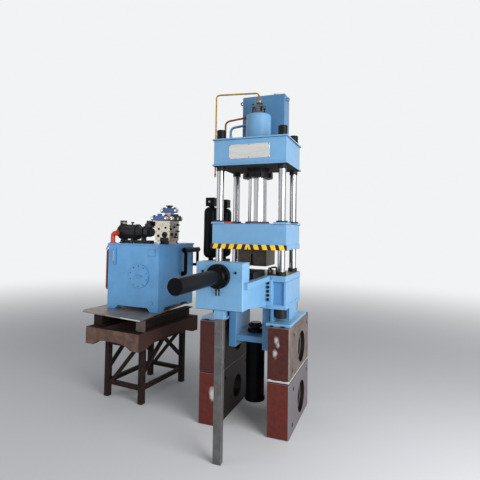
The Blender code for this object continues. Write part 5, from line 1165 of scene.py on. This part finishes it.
class PRESS_OT_press_fasteners(bpy.types.Operator):
    """Adds the screws, plugs and shims of the press"""

    bl_idname = "press.press_fasteners"
    bl_label = "Press fasteners"

    def execute(self, context):
        heads = context.scene.press_dresser.heads
        self.make_bracket_screws(heads)
        self.make_flange_screws(heads)
        self.make_plate_screws()
        self.make_shot_fasteners(heads)
        self.make_shims()
        self.make_ends()
        return {"FINISHED"}

    def make_bracket_screws(self, heads):
        bm = bmesh.new()
        face = BRACKET_BACK - BRACKET_FLANGE_T - 0.5 * MM
        for side in (-1, 1):
            for z in spread(TABLE_Z - BRACKET_SCREW_TOP, TABLE_Z - BRACKET_SCREW_FOOT, 5):
                screw(bm, at(PRESS, side * BRACKET_SCREW_X, face, z, "-Y"), heads.large, heads.large)
        piece("bracket_screws", bm, "black_oxide_steel")
        bm = bmesh.new()
        for x in (-END_PLUG_X, END_PLUG_X):
            place = at(PRESS, x, BRACKET_FRONT, SIDE_AXIS_Z + END_PLUG_RISE, "-Y")
            lathe(bm, mm((0, 1), (6.5, 1, 6), (6.5, 9, 6), (9, 9), (11, 7), (11, -1), (0, -1)), place)
        piece("end_block_plugs", bm, "black_oxide_steel")

    def make_flange_screws(self, heads):
        bm = bmesh.new()
        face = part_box("side_cylinder")[1].y - SIDE_FLANGE_T
        for x, z in circle(SIDE_CIRCLE, 8, 22.5):
            place = at(GROUND, PRESS.translation.x + x, face, SIDE_AXIS_Z + z, "-Y")
            screw(bm, place, heads.medium, heads.medium * 0.7)
        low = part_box("cylinder_gland")[0].z
        for x, y in circle(GLAND_CIRCLE, 12, 15):
            screw(bm, at(PRESS, x, y, low, "-Z"), heads.medium, 5 * MM)
        piece("flange_screws", bm, "black_oxide_steel")

    def make_plate_screws(self):
        lo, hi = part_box("nameplate")
        bm = bmesh.new()
        inset = 9 * MM
        for x in (lo.x + inset, (lo.x + hi.x) / 2, hi.x - inset):
            for z in (lo.z + inset, hi.z - inset):
                lathe(bm, mm((0, 2), (3.2, 2), (5, 1.2), (5.5, -0.2), (0, -0.2)), at(GROUND, x, lo.y, z, "-Y"),
                    16)
        piece("nameplate_screws", bm, "black_oxide_steel")
        bm = bmesh.new()
        front = facing_front(lo.y)
        w, e = 3 * MM, 1.5 * MM
        x0, x1, z0, z1 = lo.x + e, hi.x - e, lo.z + e, hi.z - e
        for sides in ((x0, x1, z0, z0 + w), (x0, x1, z1 - w, z1), (x0, x0 + w, z0 + w, z1 - w),
                (x1 - w, x1, z0 + w, z1 - w)):
            plate(bm, outline_of(*sides), -BITE, 0.7 * MM, front)
        piece("nameplate_rim", bm, "brushed_stainless")

    def make_shot_fasteners(self, heads):
        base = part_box("shot_coupling")[1].z - COUPLING_H
        bm = bmesh.new()
        for x, y in circle(COUPLING_CIRCLE, 8, 11):
            screw(bm, at(PRESS, x, y, base + 0.087), 5 * MM, 4 * MM)
        piece("coupling_screws", bm, "zinc_plated_steel", "shot_rod")
        bm = bmesh.new()
        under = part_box("shot_cylinder")[1].z - SHOT_FLANGE_H
        for x, y in circle(SHOT_CIRCLE, 8, 22.5):
            screw(bm, at(PRESS, x, y, under, "-Z"), heads.medium, heads.medium)
        piece("shot_flange_screws", bm, "black_oxide_steel")

    def make_shims(self):
        bm = bmesh.new()
        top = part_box("stand_left_upper")[1].z
        for side in (-1, 1):
            for x, w in SHIMS:
                x0, x1 = sorted((side * x, side * (x + w)))
                block(bm, (x0, SHIM_FRONT, top - BITE), (x1, SHIM_BACK, top + 11 * MM), PRESS, 2 * MM)
        piece("foot_shims", bm, "black_oxide_steel")

    def make_ends(self):
        """The crown's lifting stub, the deck's sheared bright edge and the plates on the spacers' ends."""
        bm = bmesh.new()
        lathe(bm, mm((0, -1), (12, -1), (12, 26), (9, 32), (0, 32)), at(PRESS, -0.215, -0.290, CROWN_TOP), 24)
        piece("crown_stub", bm, "sprayed_blue_enamel")
        lo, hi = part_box("deck_plate")
        left, right = (Vector((x, y, 0)) for x, y in DECK_FRONT)
        along = (right - left).normalized()
        out = Vector((along.y, -along.x, 0)) * MM
        start, end = left.lerp(right, 0.68), right - along * 4 * MM
        bm = bmesh.new()
        plate(bm, [(start - out).xy, (start + out).xy, (end + out).xy, (end - out).xy], lo.z + MM,
            hi.z + 0.3 * MM, PRESS)
        piece("deck_sheared_edge", bm, "sheared_bright_edge")
        w, f = SPACER_W / 2, SPACER_FLANGE
        # The left end plate takes the dark rusted finish as painted shade; the right one shows its scaled plate
        for tag, x, look in (("left", -SPACER_X, "rusted_section_steel"),
                ("right", SPACER_X, "scaled_end_plate")):
            z0, z1 = levels("spacer_" + tag)
            half = ((w, z0), (w, z0 + f), (f / 2, z0 + f), (f / 2, z1 - f), (w, z1 - f), (w, z1))
            rim = [(-w, z0), *half, *((-u, v) for u, v in half[:0:-1])]
            bm = bmesh.new()
            plate(bm, [(x + u, v) for u, v in rim], -SPACER_BACK, -SPACER_SET_BACK, TRESTLE @ facing_front(0))
            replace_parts(piece("spacer_section_" + tag, bm, "rusted_section_steel"), "spacer_" + tag)
            bm = bmesh.new()
            block(bm, (x - w - 8 * MM, SPACER_SET_BACK - 6 * MM, z0),
                  (x + w + 12 * MM, SPACER_SET_BACK + MM, z1 - MM), TRESTLE)
            piece("spacer_end_" + tag, bm, look)


class PRESS_OT_platen_dressing(bpy.types.Operator):
    """Adds the platen's bush rings and primed edges, and the switch beside the right column"""

    bl_idname = "press.platen_dressing"
    bl_label = "Platen dressing"

    def execute(self, context):
        top = levels("platen")[1]
        pad_top = top - BUSH_H
        bm = bmesh.new()
        inner, outer, e = COLUMN_R + 0.8 * MM, 62 * MM, 2 * MM
        for x, y, _ in COLUMNS:
            place = at(PRESS, x, y, 0)
            profile = ((inner, top), (outer, pad_top + 0.2 * MM), (outer, top), (outer - e, top + e),
                (inner + e, top + e), (inner, top + e * 0.6))
            lathe(bm, profile, place, 48, ring=True)
        piece("bush_rings", bm, "black_oxide_steel", "platen")
        body_top = pad_top - PAD_T
        w, d, gap, t = PLATEN_HALF_W - 6 * MM, PLATEN_HALF_D - 6 * MM, 0.146, 5 * MM
        bm = bmesh.new()
        block(bm, (-w + gap, -d, body_top - BITE), (-0.200, -d + 0.05, body_top + PAD_T), PRESS)
        piece("platen_fresh_primer", bm, "fresh_red_primer", "platen")
        bm = bmesh.new()
        for x0, x1, y0, y1 in ((-0.200, w - gap, -d, -d + 0.05), (-w + gap, w - gap, d - 0.05, d),
                (-w, -w + 0.05, -d + gap, d - gap), (w - 0.05, w, -d + gap, d - gap)):
            block(bm, (x0, y0, body_top - BITE), (x1, y1, body_top + t), PRESS)
        piece("platen_primed_edges", bm, "red_oxide_primer", "platen")
        self.make_switch()
        return {"FINISHED"}

    def make_switch(self):
        """A limit switch on the table by the right column, with its rigid conduit."""
        bm = bmesh.new()
        z = TABLE_Z
        block(bm, (0.214, -0.300, z - BITE), (0.290, -0.200, z + 8 * MM), PRESS)
        block(bm, (0.216, -0.295, z + 7 * MM), (0.272, -0.245, z + 58 * MM), PRESS, 2 * MM)
        block(bm, (0.216, -0.238, z + 7 * MM), (0.262, -0.204, z + 40 * MM), PRESS, 3 * MM)
        piece("limit_switch", bm, "moulded_black_plug", bevel=1.5 * MM)
        bm = bmesh.new()
        for (x0, y0, z0), (x1, y1, z1), top, bend, r in CONDUITS:
            route = [(x, y, z + h * MM) for x, y, h in ((x0, y0, z0), (x0, y0, top), (x1, y1, top),
                (x1, y1, z1))]
            tube(bm, [PRESS @ p for p in arc_route(route, bend * MM, 8)], r * MM, 16)
        piece("limit_switch_conduit", bm, "black_oxide_steel")
        bm = bmesh.new()
        lathe(bm, rod(9 * MM, -MM, 5 * MM), at(PRESS, 0.244, -0.296, z + 40 * MM, "-Y"), 24)
        piece("limit_switch_cap", bm, "zinc_plated_steel")


class PRESS_OT_welds(bpy.types.Operator):
    """Adds the weld beads along the seams of the press, the tank and the trestle"""

    bl_idname = "press.welds"
    bl_label = "Weld beads"

    def execute(self, context):
        bead = context.scene.press_dresser.heads.bead
        self.make_press_welds(bead)
        self.make_unit_welds(bead)
        self.make_bare_welds(bead)
        return {"FINISHED"}

    def around(self, bm, w, d, z, bead, place):
        """A bead round a rectangle at one height."""
        corners = ((-w, -d, z), (w, -d, z), (w, d, z), (-w, d, z))
        for a, b in zip(corners, corners[1:] + corners[:1]):
            weld(bm, a, b, bead, place)

    def make_press_welds(self, bead):
        bm = bmesh.new()
        for z in (CROWN_Z + CROWN_LIP_T, CROWN_TOP - CROWN_LIP_T):
            self.around(bm, *CROWN_SEAM, z, bead, PRESS)
        piece("crown_welds", bm, "painted_weld", sharp=80)
        bm = bmesh.new()
        flange, table, foot = FLANGE_Z + BED_FLANGE_T, TABLE_Z - TABLE_T, FOOT_TOP
        y0, y1, leg = BED_SEAM_Y, BED_FRONT_Y, BED_LEG_HALF_D
        for side in (-1, 1):
            x, x1, x2, x3, x4, rib = (side * u for u in (BED_HALF_W - BED_EDGE, BED_HALF_W - BED_PLATE_T,
                *BED_POCKET_X, BED_FOOT_X, BED_RIB_X))
            seams = [((x, -y0, z), (x, y0, z)) for z in (flange, table)]
            seams += [((x1, y, flange), (x1, y, table)) for y in (-y1, y1)]
            seams += [((x2, y, z), (x3, y, z)) for y in (-y1, y1) for z in (flange, table)]
            for y in (-leg, leg):
                seams += [((x4, y, foot), (x, y, foot)), ((x, y, foot), (x, y, FLANGE_Z))]
            seams.append(((x, -leg, foot), (x, leg, foot)))
            seams += [((rib, -y1, z), (rib, y1, z)) for z in (foot, FLANGE_Z)]
            for start, end in seams:
                weld(bm, start, end, bead, PRESS)
        piece("bed_welds", bm, "painted_weld", sharp=80)
        bm = bmesh.new()
        for side in (-1, 1):
            x = side * BRACKET_HALF_W
            low = TABLE_Z - RAIL_H
            weld(bm, (x, -1.010, low), (x, BRACKET_BACK - 0.002, low), bead, PRESS)
            back = BRACKET_BACK - BRACKET_FLANGE_T
            weld(bm, (x, back, TABLE_Z - 0.252), (x, back, low), bead, PRESS)
            weld(bm, (x, -0.889, TABLE_Z + 0.001), (x, -0.889, TABLE_Z + 0.172), bead * 0.7, PRESS)
        for x in (-0.048, 0.048):
            weld(bm, (x, -1.036, TABLE_Z - 0.248), (x, -0.984, TABLE_Z - 0.248), bead, PRESS)
        weld(bm, (-0.048, -1.040, TABLE_Z - 0.250), (0.048, -1.040, TABLE_Z - 0.250), bead, PRESS)
        for side in (-1, 1):
            for x in (side * SHOT_LEG_IN, side * SHOT_LEG_OUT):
                weld(bm, (x, -0.230, SHOT_TOP), (x, 0.230, SHOT_TOP), bead, PRESS)
            for z in (SHOT_BAR_Z, SHOT_BAR_Z + SHOT_BAR_H):
                weld(bm, (side * SHOT_LEG_IN, -0.224, z), (side * SHOT_LEG_IN, 0.224, z), bead, PRESS)
        piece("bracket_and_frame_welds", bm, "painted_weld", sharp=80)

    def make_unit_welds(self, bead):
        bm = bmesh.new()
        w, d = TANK_W / 2, TANK_D / 2
        z0, z1 = TANK_Z + 0.004, TANK_Z + TANK_H
        for x, y in four(w * 0.9975, d * 0.9975):
            weld(bm, (x, y, z0), (x, y, z1 - 0.004), bead * 0.8, UNIT)
        self.around(bm, w, d, z1, bead * 0.8, UNIT)
        piece("tank_welds", bm, "sprayed_deep_blue", sharp=80)

    def make_bare_welds(self, bead):
        bm = bmesh.new()
        top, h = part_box("trestle_left")[1].z - MM, LEG_SIZE / 2
        for x in (centre + side for centre in LEG_X for side in (-h, h)):
            for y in LEG_Y:
                weld(bm, (x, y - h, top), (x, y + h, top), bead, TRESTLE)
        piece("trestle_welds", bm, "bare_weld", sharp=80)


class PRESS_OT_tank_fittings(bpy.types.Operator):
    """Adds the cover's bolts, the level gauge's glass, the lid's ear and lever, and the motor's fittings"""

    bl_idname = "press.tank_fittings"
    bl_label = "Tank fittings"

    def execute(self, context):
        heads = context.scene.press_dresser.heads
        self.make_cover_bolts()
        self.make_gauge()
        self.make_lid_fittings(heads)
        self.make_motor_fittings()
        return {"FINISHED"}

    def make_cover_bolts(self):
        x, z = TANK_W / 2 - COVER_IN, TANK_Z + TANK_H - COVER_DROP
        face = -TANK_D / 2 - GAP - COVER_T
        bm = bmesh.new()
        for dx, dz in circle(COVER_CIRCLE, 10, 18):
            hex_bolt(bm, at(UNIT, x + dx, face, z + dz, "-Y"), 5.5 * MM, 6 * MM)
        piece("cover_bolts", bm, "black_oxide_steel")

    def make_gauge(self):
        x, z = GAUGE_IN - TANK_W / 2, TANK_Z + TANK_H - GAUGE_DROP
        face = -TANK_D / 2 - GAP - GAUGE_T
        half, slot = GAUGE_H / 2 - GAUGE_END, GAUGE_SLOT / 2
        front = UNIT @ facing_front(face)
        outline = []
        for centre, first in ((half - slot, 0.0), (-half + slot, math.pi)):
            for i in range(9):
                a = first + math.pi * i / 8
                outline.append((x + slot * 0.96 * math.cos(a), z + centre + slot * 0.96 * math.sin(a)))
        bm = bmesh.new()
        plate(bm, outline, -GAUGE_T / 2 - BITE, -4 * MM, front)
        piece("gauge_seal", bm, "matt_black_enamel")
        outline = [(x + (u - x) * 0.55, z + (v - z) * 0.93) for u, v in outline]
        bm = bmesh.new()
        plate(bm, outline, -4.2 * MM, -1.5 * MM, front)
        piece("gauge_glass", bm, "oiled_sight_glass")
        bm = bmesh.new()
        for end in (-1, 1):
            screw(bm, at(UNIT, x, face, z + end * (GAUGE_H / 2 - 0.016), "-Y"), 6 * MM, 5 * MM)
        piece("gauge_bolts", bm, "zinc_plated_steel")
        bm = bmesh.new()
        for i in range(7):
            level = z - half * 0.7 + i * half * 1.4 / 6
            x0, x1 = x + slot + 2 * MM, x + slot + (7 if i % 3 else 10) * MM
            plate(bm, outline_of(x0, x1, level - 0.5 * MM, level + 0.5 * MM), -BITE, 0.3 * MM, front)
        piece("gauge_marks", bm, "matt_black_enamel")

    def make_lid_fittings(self, heads):
        w, d, top = TANK_W / 2, TANK_D / 2, LID_TOP
        bm = bmesh.new()
        ear = ((-w - 0.064, top - 0.088), (-w - 0.048, top - 0.094), (-w - 0.004, top - 0.030),
               (-w - 0.004, top - 0.002), (-w - 0.012, top - 0.002))
        upright = Matrix(((1, 0, 0, 0), (0, 0, 1, 0), (0, 1, 0, 0), (0, 0, 0, 1)))
        plate(bm, ear, -d + 0.006, -d + 0.016, UNIT @ upright)
        piece("lid_ear", bm, "sprayed_deep_blue", bevel=1.5 * MM)
        bm = bmesh.new()
        lever = ((0.386, -d - 0.016, top - 0.024), (0.372, -d - 0.020, top - 0.052),
                 (0.352, -d - 0.022, top - 0.092))
        tube(bm, [UNIT @ Vector(p) for p in lever], (3.5 * MM, 3.5 * MM, 3 * MM), 12)
        lathe(bm, mm((0, -6), (5, -4), (6.5, 0), (5, 4), (0, 6)), at(UNIT, 0.351, -d - 0.022, top - 0.094), 20)
        lathe(bm, mm((0, -2), (8, -2), (8, 16), (5, 20), (0, 20)), at(UNIT, 0.388, -d, top - 0.024, "-Y"), 24)
        piece("vent_lever", bm, "zinc_plated_steel")
        bm = bmesh.new()
        x, z = w - SMALL_COVER_IN, TANK_Z + TANK_H - SMALL_COVER_DROP
        for dx, dz in four(0.038, 0.035):
            hex_bolt(bm, at(UNIT, x + dx, -d - 0.010, z + dz, "-Y"), heads.small, 4 * MM)
        piece("tank_plugs", bm, "sprayed_deep_blue")
        bm = bmesh.new()
        rows = [(x, y) for x in spread(-w + 0.03, w - 0.03, 7) for y in (-d + 0.012, d - 0.012)]
        rows += [(x, y) for y in spread(-d + 0.13, d - 0.13, 5) for x in (-w + 0.012, w - 0.012)]
        for x, y in rows:
            hex_bolt(bm, at(UNIT, x, y, top), heads.small, 5 * MM)
        piece("lid_bolts", bm, "zinc_plated_steel")
        bm = bmesh.new()
        for x, y, h in LID_CAPS:
            lathe(bm, ((0, -MM), (0.036, -MM), (0.036, 8 * MM), (0.026, 9 * MM), (0.026, h),
                (0.030, h + 2 * MM), (0.030, h + 14 * MM), (0.024, h + 18 * MM), (0, h + 18 * MM)), at(UNIT, x,
                y, top), 32)
        piece("filler_caps", bm, "charcoal_cast_iron")

    def make_motor_fittings(self):
        top = LID_TOP
        axis = top + GAP + MOTOR_RISE
        x0, x1 = MOTOR_X0, MOTOR_X0 + MOTOR_LENGTH
        bm = bmesh.new()
        for x in (x0 + MOTOR_FOOT_IN, x1 - MOTOR_FOOT_IN):
            for side in (-1, 1):
                hex_bolt(bm, at(UNIT, x, MOTOR_Y + side * 0.062, top + 14 * MM), 6 * MM, 6 * MM)
        for dy, dz in circle(BELL_CIRCLE, 6, 30):
            hex_bolt(bm, at(UNIT, x1 + BELL_RIM, MOTOR_Y + dy, axis + dz, "+X"), 5.5 * MM, 6 * MM)
        piece("motor_bolts", bm, "zinc_plated_steel")
        bm = bmesh.new()
        x2 = x1 + GAP + BELL_LENGTH + PUMP_LENGTH
        block(bm, (x0 + 0.040, MOTOR_Y - 0.050, top), (x2 - 0.010, MOTOR_Y + 0.050, top + 40 * MM), UNIT)
        block(bm, (x2 - 0.100, MOTOR_Y - 0.046, axis + 0.058), (x2 - 0.004, MOTOR_Y + 0.046, axis + 0.112),
            UNIT, 3 * MM)
        block(bm, (x2 - 0.084, MOTOR_Y - 0.034, axis + 0.110), (x2 - 0.020, MOTOR_Y + 0.034, axis + 0.150),
            UNIT, 3 * MM)
        for dy, lift in ((-0.024, 0.076), (0.020, 0.098)):
            lathe(bm, mm((0, 0), (17, 0, 6), (17, 18, 6), (13, 20), (13, 38), (0, 38)),
                at(UNIT, x2 - 4 * MM, MOTOR_Y + dy, axis + lift, "+X"), 24)
        piece("motor_rail_and_regulator", bm, "charcoal_cast_iron", bevel=2 * MM)
        bm = bmesh.new()
        for radius in spread(0.018, 0.078, 6):
            lathe(bm, ((radius - 1.5 * MM, -MM), (radius + 1.5 * MM, -MM), (radius + 1.5 * MM, 2 * MM),
                (radius - 1.5 * MM, 2 * MM)), at(UNIT, x0, MOTOR_Y, axis, "-X"), 48, ring=True)
        for i in range(6):
            turn = at(UNIT, x0, MOTOR_Y, axis, "-X") @ Matrix.Rotation(math.radians(60 * i), 4, "Z")
            block(bm, (0.010, -1.5 * MM, -MM), (0.080, 1.5 * MM, 1.5 * MM), turn)
        piece("fan_grille", bm, "charcoal_cast_iron")
        mid = x0 + TERMINAL_IN
        crest = axis + MOTOR_R + TERMINAL_H
        half = TERMINAL_W / 2
        bm = bmesh.new()
        block(bm, (mid - half - MM, MOTOR_Y - half - MM, crest - 44 * MM),
            (mid + half + MM, MOTOR_Y + half + MM, crest + 2 * MM), UNIT, 2 * MM)
        piece("terminal_box_lid", bm, "moulded_beige_box", bevel=2 * MM)
        bm = bmesh.new()
        for dx, dy in four(half * 0.72, half * 0.72):
            screw(bm, at(UNIT, mid + dx, MOTOR_Y + dy, crest + 2 * MM), 3.5 * MM, 2 * MM)
        lathe(bm, mm((0, -1), (12, -1, 6), (12, 8, 6), (9, 10), (9, 20), (6, 24), (0, 24)),
            at(UNIT, mid, MOTOR_Y - half, crest - 36 * MM, "-Y"), 36)
        ring = at(UNIT, x1 - 0.100, MOTOR_Y, axis + MOTOR_R - 2 * MM)
        lathe(bm, mm((0, -4), (9, -4), (9, 8), (21, 10), (21, 24), (16, 30), (0, 32)), ring, 32)
        piece("motor_fittings", bm, "moulded_black_plug")
        bm = bmesh.new()
        block(bm, (x2 - 0.080, MOTOR_Y - 0.098, axis - 0.028), (x2 - 0.024, MOTOR_Y - 0.050, axis + 0.028),
            UNIT)
        piece("pump_flanges", bm, "charcoal_cast_iron", bevel=2 * MM)
        bm = bmesh.new()
        for dx, dy in four(0.022, 0.024):
            screw(bm, at(UNIT, x2 - 0.052 + dx, MOTOR_Y + dy, axis + 0.150), 5 * MM, 6 * MM)
        piece("pump_screws", bm, "zinc_plated_steel")
        bm = bmesh.new()
        route = arc_route(((x2 - 0.052, MOTOR_Y, axis + 0.078), (x2 - 0.052, MOTOR_Y, axis + 0.125),
            (BLOCK_X - BLOCK_W / 2 + 4 * MM, MOTOR_Y, axis + 0.125)), 0.022, 8)
        tube(bm, [UNIT @ p for p in route], 19 * MM, 20)
        lathe(bm, mm((0, 0), (30, 0, 6), (30, 24, 6), (22, 26), (0, 26)), at(UNIT, BLOCK_X - BLOCK_W / 2,
            MOTOR_Y, axis + 0.125, "-X"), 36)
        piece("pressure_pipe", bm, "black_oxide_steel")


class PRESS_OT_valves(bpy.types.Operator):
    """Dresses the valve stack with its coils, plugs, port fittings and screws"""

    bl_idname = "press.valves"
    bl_label = "Valves"

    def execute(self, context):
        base = LID_TOP + GAP + BLOCK_BASE_H + BLOCK_H
        x, y = BLOCK_X, BLOCK_Y
        quarter = Matrix.Rotation(math.pi / 2, 4, "Z")
        self.make_valve("lower", at(UNIT, x - 0.075, y - 0.065, base), "moulded_blue_coil")
        self.make_valve("side", at(UNIT, x + 0.080, y + 0.085, base) @ quarter, "moulded_black_plug")
        self.make_valve("upper", at(UNIT, x - 0.001, y + 0.045, base + RISER_H), "moulded_blue_coil")
        self.make_block_fittings()
        return {"FINISHED"}

    def make_valve(self, tag, place, coil):
        half, reach, mid, r = VALVE_BODY_L / 2, VALVE_LENGTH / 2, SPOOL_H / 2, SOLENOID_R
        bm = bmesh.new()
        for x0, x1 in ((half, half + 30 * MM), (-half - 30 * MM, -half)):
            block(bm, (x0, -r - 2 * MM, mid - r - 2 * MM), (x1, r + 2 * MM, mid + r + 2 * MM), place)
        piece(f"valve_{tag}_coils", bm, coil, bevel=4 * MM)
        bm = bmesh.new()
        for side in (-1, 1):
            end = at(place, side * (half + 32 * MM), 0, mid, "+X" if side > 0 else "-X")
            cap = (reach - half) / MM
            lathe(bm, mm((0, -2), (29, -2), (29, 26), (26, 28), (26, cap - 32), (20, cap - 29), (6, cap - 29),
                (5, cap - 31), (0, cap - 31)), end, 32)
        for dx, dy in four(0.046, 0.020):
            screw(bm, at(place, dx, dy, SPOOL_H), 5 * MM, 4 * MM)
        piece(f"valve_{tag}_caps", bm, "brushed_stainless")
        bm = bmesh.new()
        for side in (-1, 1):
            x = side * (half + 24 * MM)
            block(bm, (x - 13 * MM, -14 * MM, mid + r), (x + 13 * MM, 14 * MM, mid + r + 16 * MM), place, MM)
        if tag == "upper":
            lathe(bm, ((0, SPOOL_H), (0.030, SPOOL_H), (0.030, SPOOL_H + 20 * MM), (0.048, SPOOL_H + 22 * MM),
                (0.048, SPOOL_H + 36 * MM), (0, SPOOL_H + 36 * MM)), place, 32)
        piece(f"valve_{tag}_plugs", bm, "moulded_black_plug", bevel=2 * MM)

    def make_block_fittings(self):
        x, y, w, d = BLOCK_X, BLOCK_Y, BLOCK_W / 2, BLOCK_D / 2
        z0 = LID_TOP + GAP + BLOCK_BASE_H
        bm = bmesh.new()
        for px, pz, pr in FRONT_PORTS:
            self.plug(bm, at(UNIT, x + px, y - d + PORT_DEPTH - MM, z0 + pz, "-Y"), pr, PORT_DEPTH + 4 * MM)
        for py, pz, pr in SIDE_PORTS:
            self.plug(bm, at(UNIT, x + w - PORT_DEPTH + MM, y + py, z0 + pz, "+X"), pr, PORT_DEPTH + 10 * MM)
        px, pz, pr = FRONT_PORTS[1]
        lathe(bm, ((pr - 2 * MM, -MM), (pr + 12 * MM, -MM), (pr + 12 * MM, 8 * MM), (pr - 2 * MM, 8 * MM)),
            at(UNIT, x + px, y - d, z0 + pz, "-Y"), 36, ring=True)
        block(bm, (x - 0.020, y - d - 16 * MM, z0 - BLOCK_BASE_H), (x + w - 2 * MM, y - d + MM, z0 + 40 * MM),
            UNIT, MM)
        for py, pz, reach in SIDE_STUBS:
            lathe(bm, mm((0, -1), (14, -1, 6), (14, 12, 6), (9, 13), (9, reach), (0, reach)),
                at(UNIT, x + w, y + py, z0 + pz, "+X"), 36)
        piece("port_plugs", bm, "black_oxide_steel")
        bm = bmesh.new()
        for px, pz, pr in FRONT_SCREWS:
            screw(bm, at(UNIT, x + px, y - d, z0 + pz, "-Y"), pr * MM, 3 * MM)
        for py, pz, pr in SIDE_SCREWS:
            screw(bm, at(UNIT, x + w, y + py, z0 + pz, "+X"), pr * MM, 3 * MM)
        for px in (-0.036, 0.036):
            for pz in (0.020, 0.085):
                screw(bm, at(UNIT, x - 0.001 + px, y + 0.005, z0 + BLOCK_H + pz, "-Y"), 5 * MM, 3 * MM)
        piece("block_screws", bm, "zinc_plated_steel")
        bm = bmesh.new()
        for px, py in TEST_POINTS:
            lathe(bm, mm((0, -1), (8, -1, 6), (8, 12, 6), (5, 13), (5, 26), (9, 27), (9, 36), (0, 36)),
                at(UNIT, x + px, y + 0.030 + py * 0.9, z0 + BLOCK_H), 24)
        piece("test_points", bm, "moulded_black_plug")
        face = at(UNIT, x + 0.080 + VALVE_D / 2, y + 0.075, z0 + BLOCK_H + SPOOL_H / 2, "+X")
        bm = bmesh.new()
        block(bm, (-0.016, -0.020, -BITE), (0.016, 0.020, 1.2 * MM), face)
        piece("valve_side_plate", bm, "moulded_white_cap")

    def plug(self, bm, where, radius, height):
        """A socket plug that fills a port and stands a little proud of it."""
        r = radius * 0.94
        lathe(bm, ((0, height * 0.55), (r * 0.5, height * 0.55, 6), (r * 0.5, height, 6), (r * 0.85, height),
            (r, height - 2 * MM), (r, 0), (0, 0)), where, 36)


class PRESS_PT_panel(bpy.types.Panel):
    """Lists the settings and the operators"""

    bl_label = "Die casting press"
    bl_idname = "PRESS_PT_panel"
    bl_space_type = "VIEW_3D"
    bl_region_type = "UI"
    bl_category = "Press"

    def draw(self, context):
        settings = context.scene.press_dresser
        for group in (settings.stage, settings.heads, settings.hazard):
            box = self.layout.box()
            for name in group.__annotations__:
                box.prop(group, name)
        for operator in OPERATORS:
            self.layout.operator(operator.bl_idname)


OPERATORS = (PRESS_OT_stage, PRESS_OT_finishes, PRESS_OT_hazard_stripes, PRESS_OT_turned_parts, PRESS_OT_pipes,
    PRESS_OT_press_fasteners, PRESS_OT_platen_dressing, PRESS_OT_welds, PRESS_OT_tank_fittings, PRESS_OT_valves)
CLASSES = (StageSettings, FastenerSizes, HazardStripes, PressDresser, *OPERATORS, PRESS_PT_panel)


def register():
    for cls in CLASSES:
        bpy.utils.register_class(cls)
    bpy.types.Scene.press_dresser = PointerProperty(type=PressDresser)


def unregister():
    del bpy.types.Scene.press_dresser
    for cls in reversed(CLASSES):
        bpy.utils.unregister_class(cls)


def main():
    register()
    for operator in OPERATORS:
        group, name = operator.bl_idname.split(".")
        getattr(getattr(bpy.ops, group), name)()


if __name__ == "__main__":
    main()
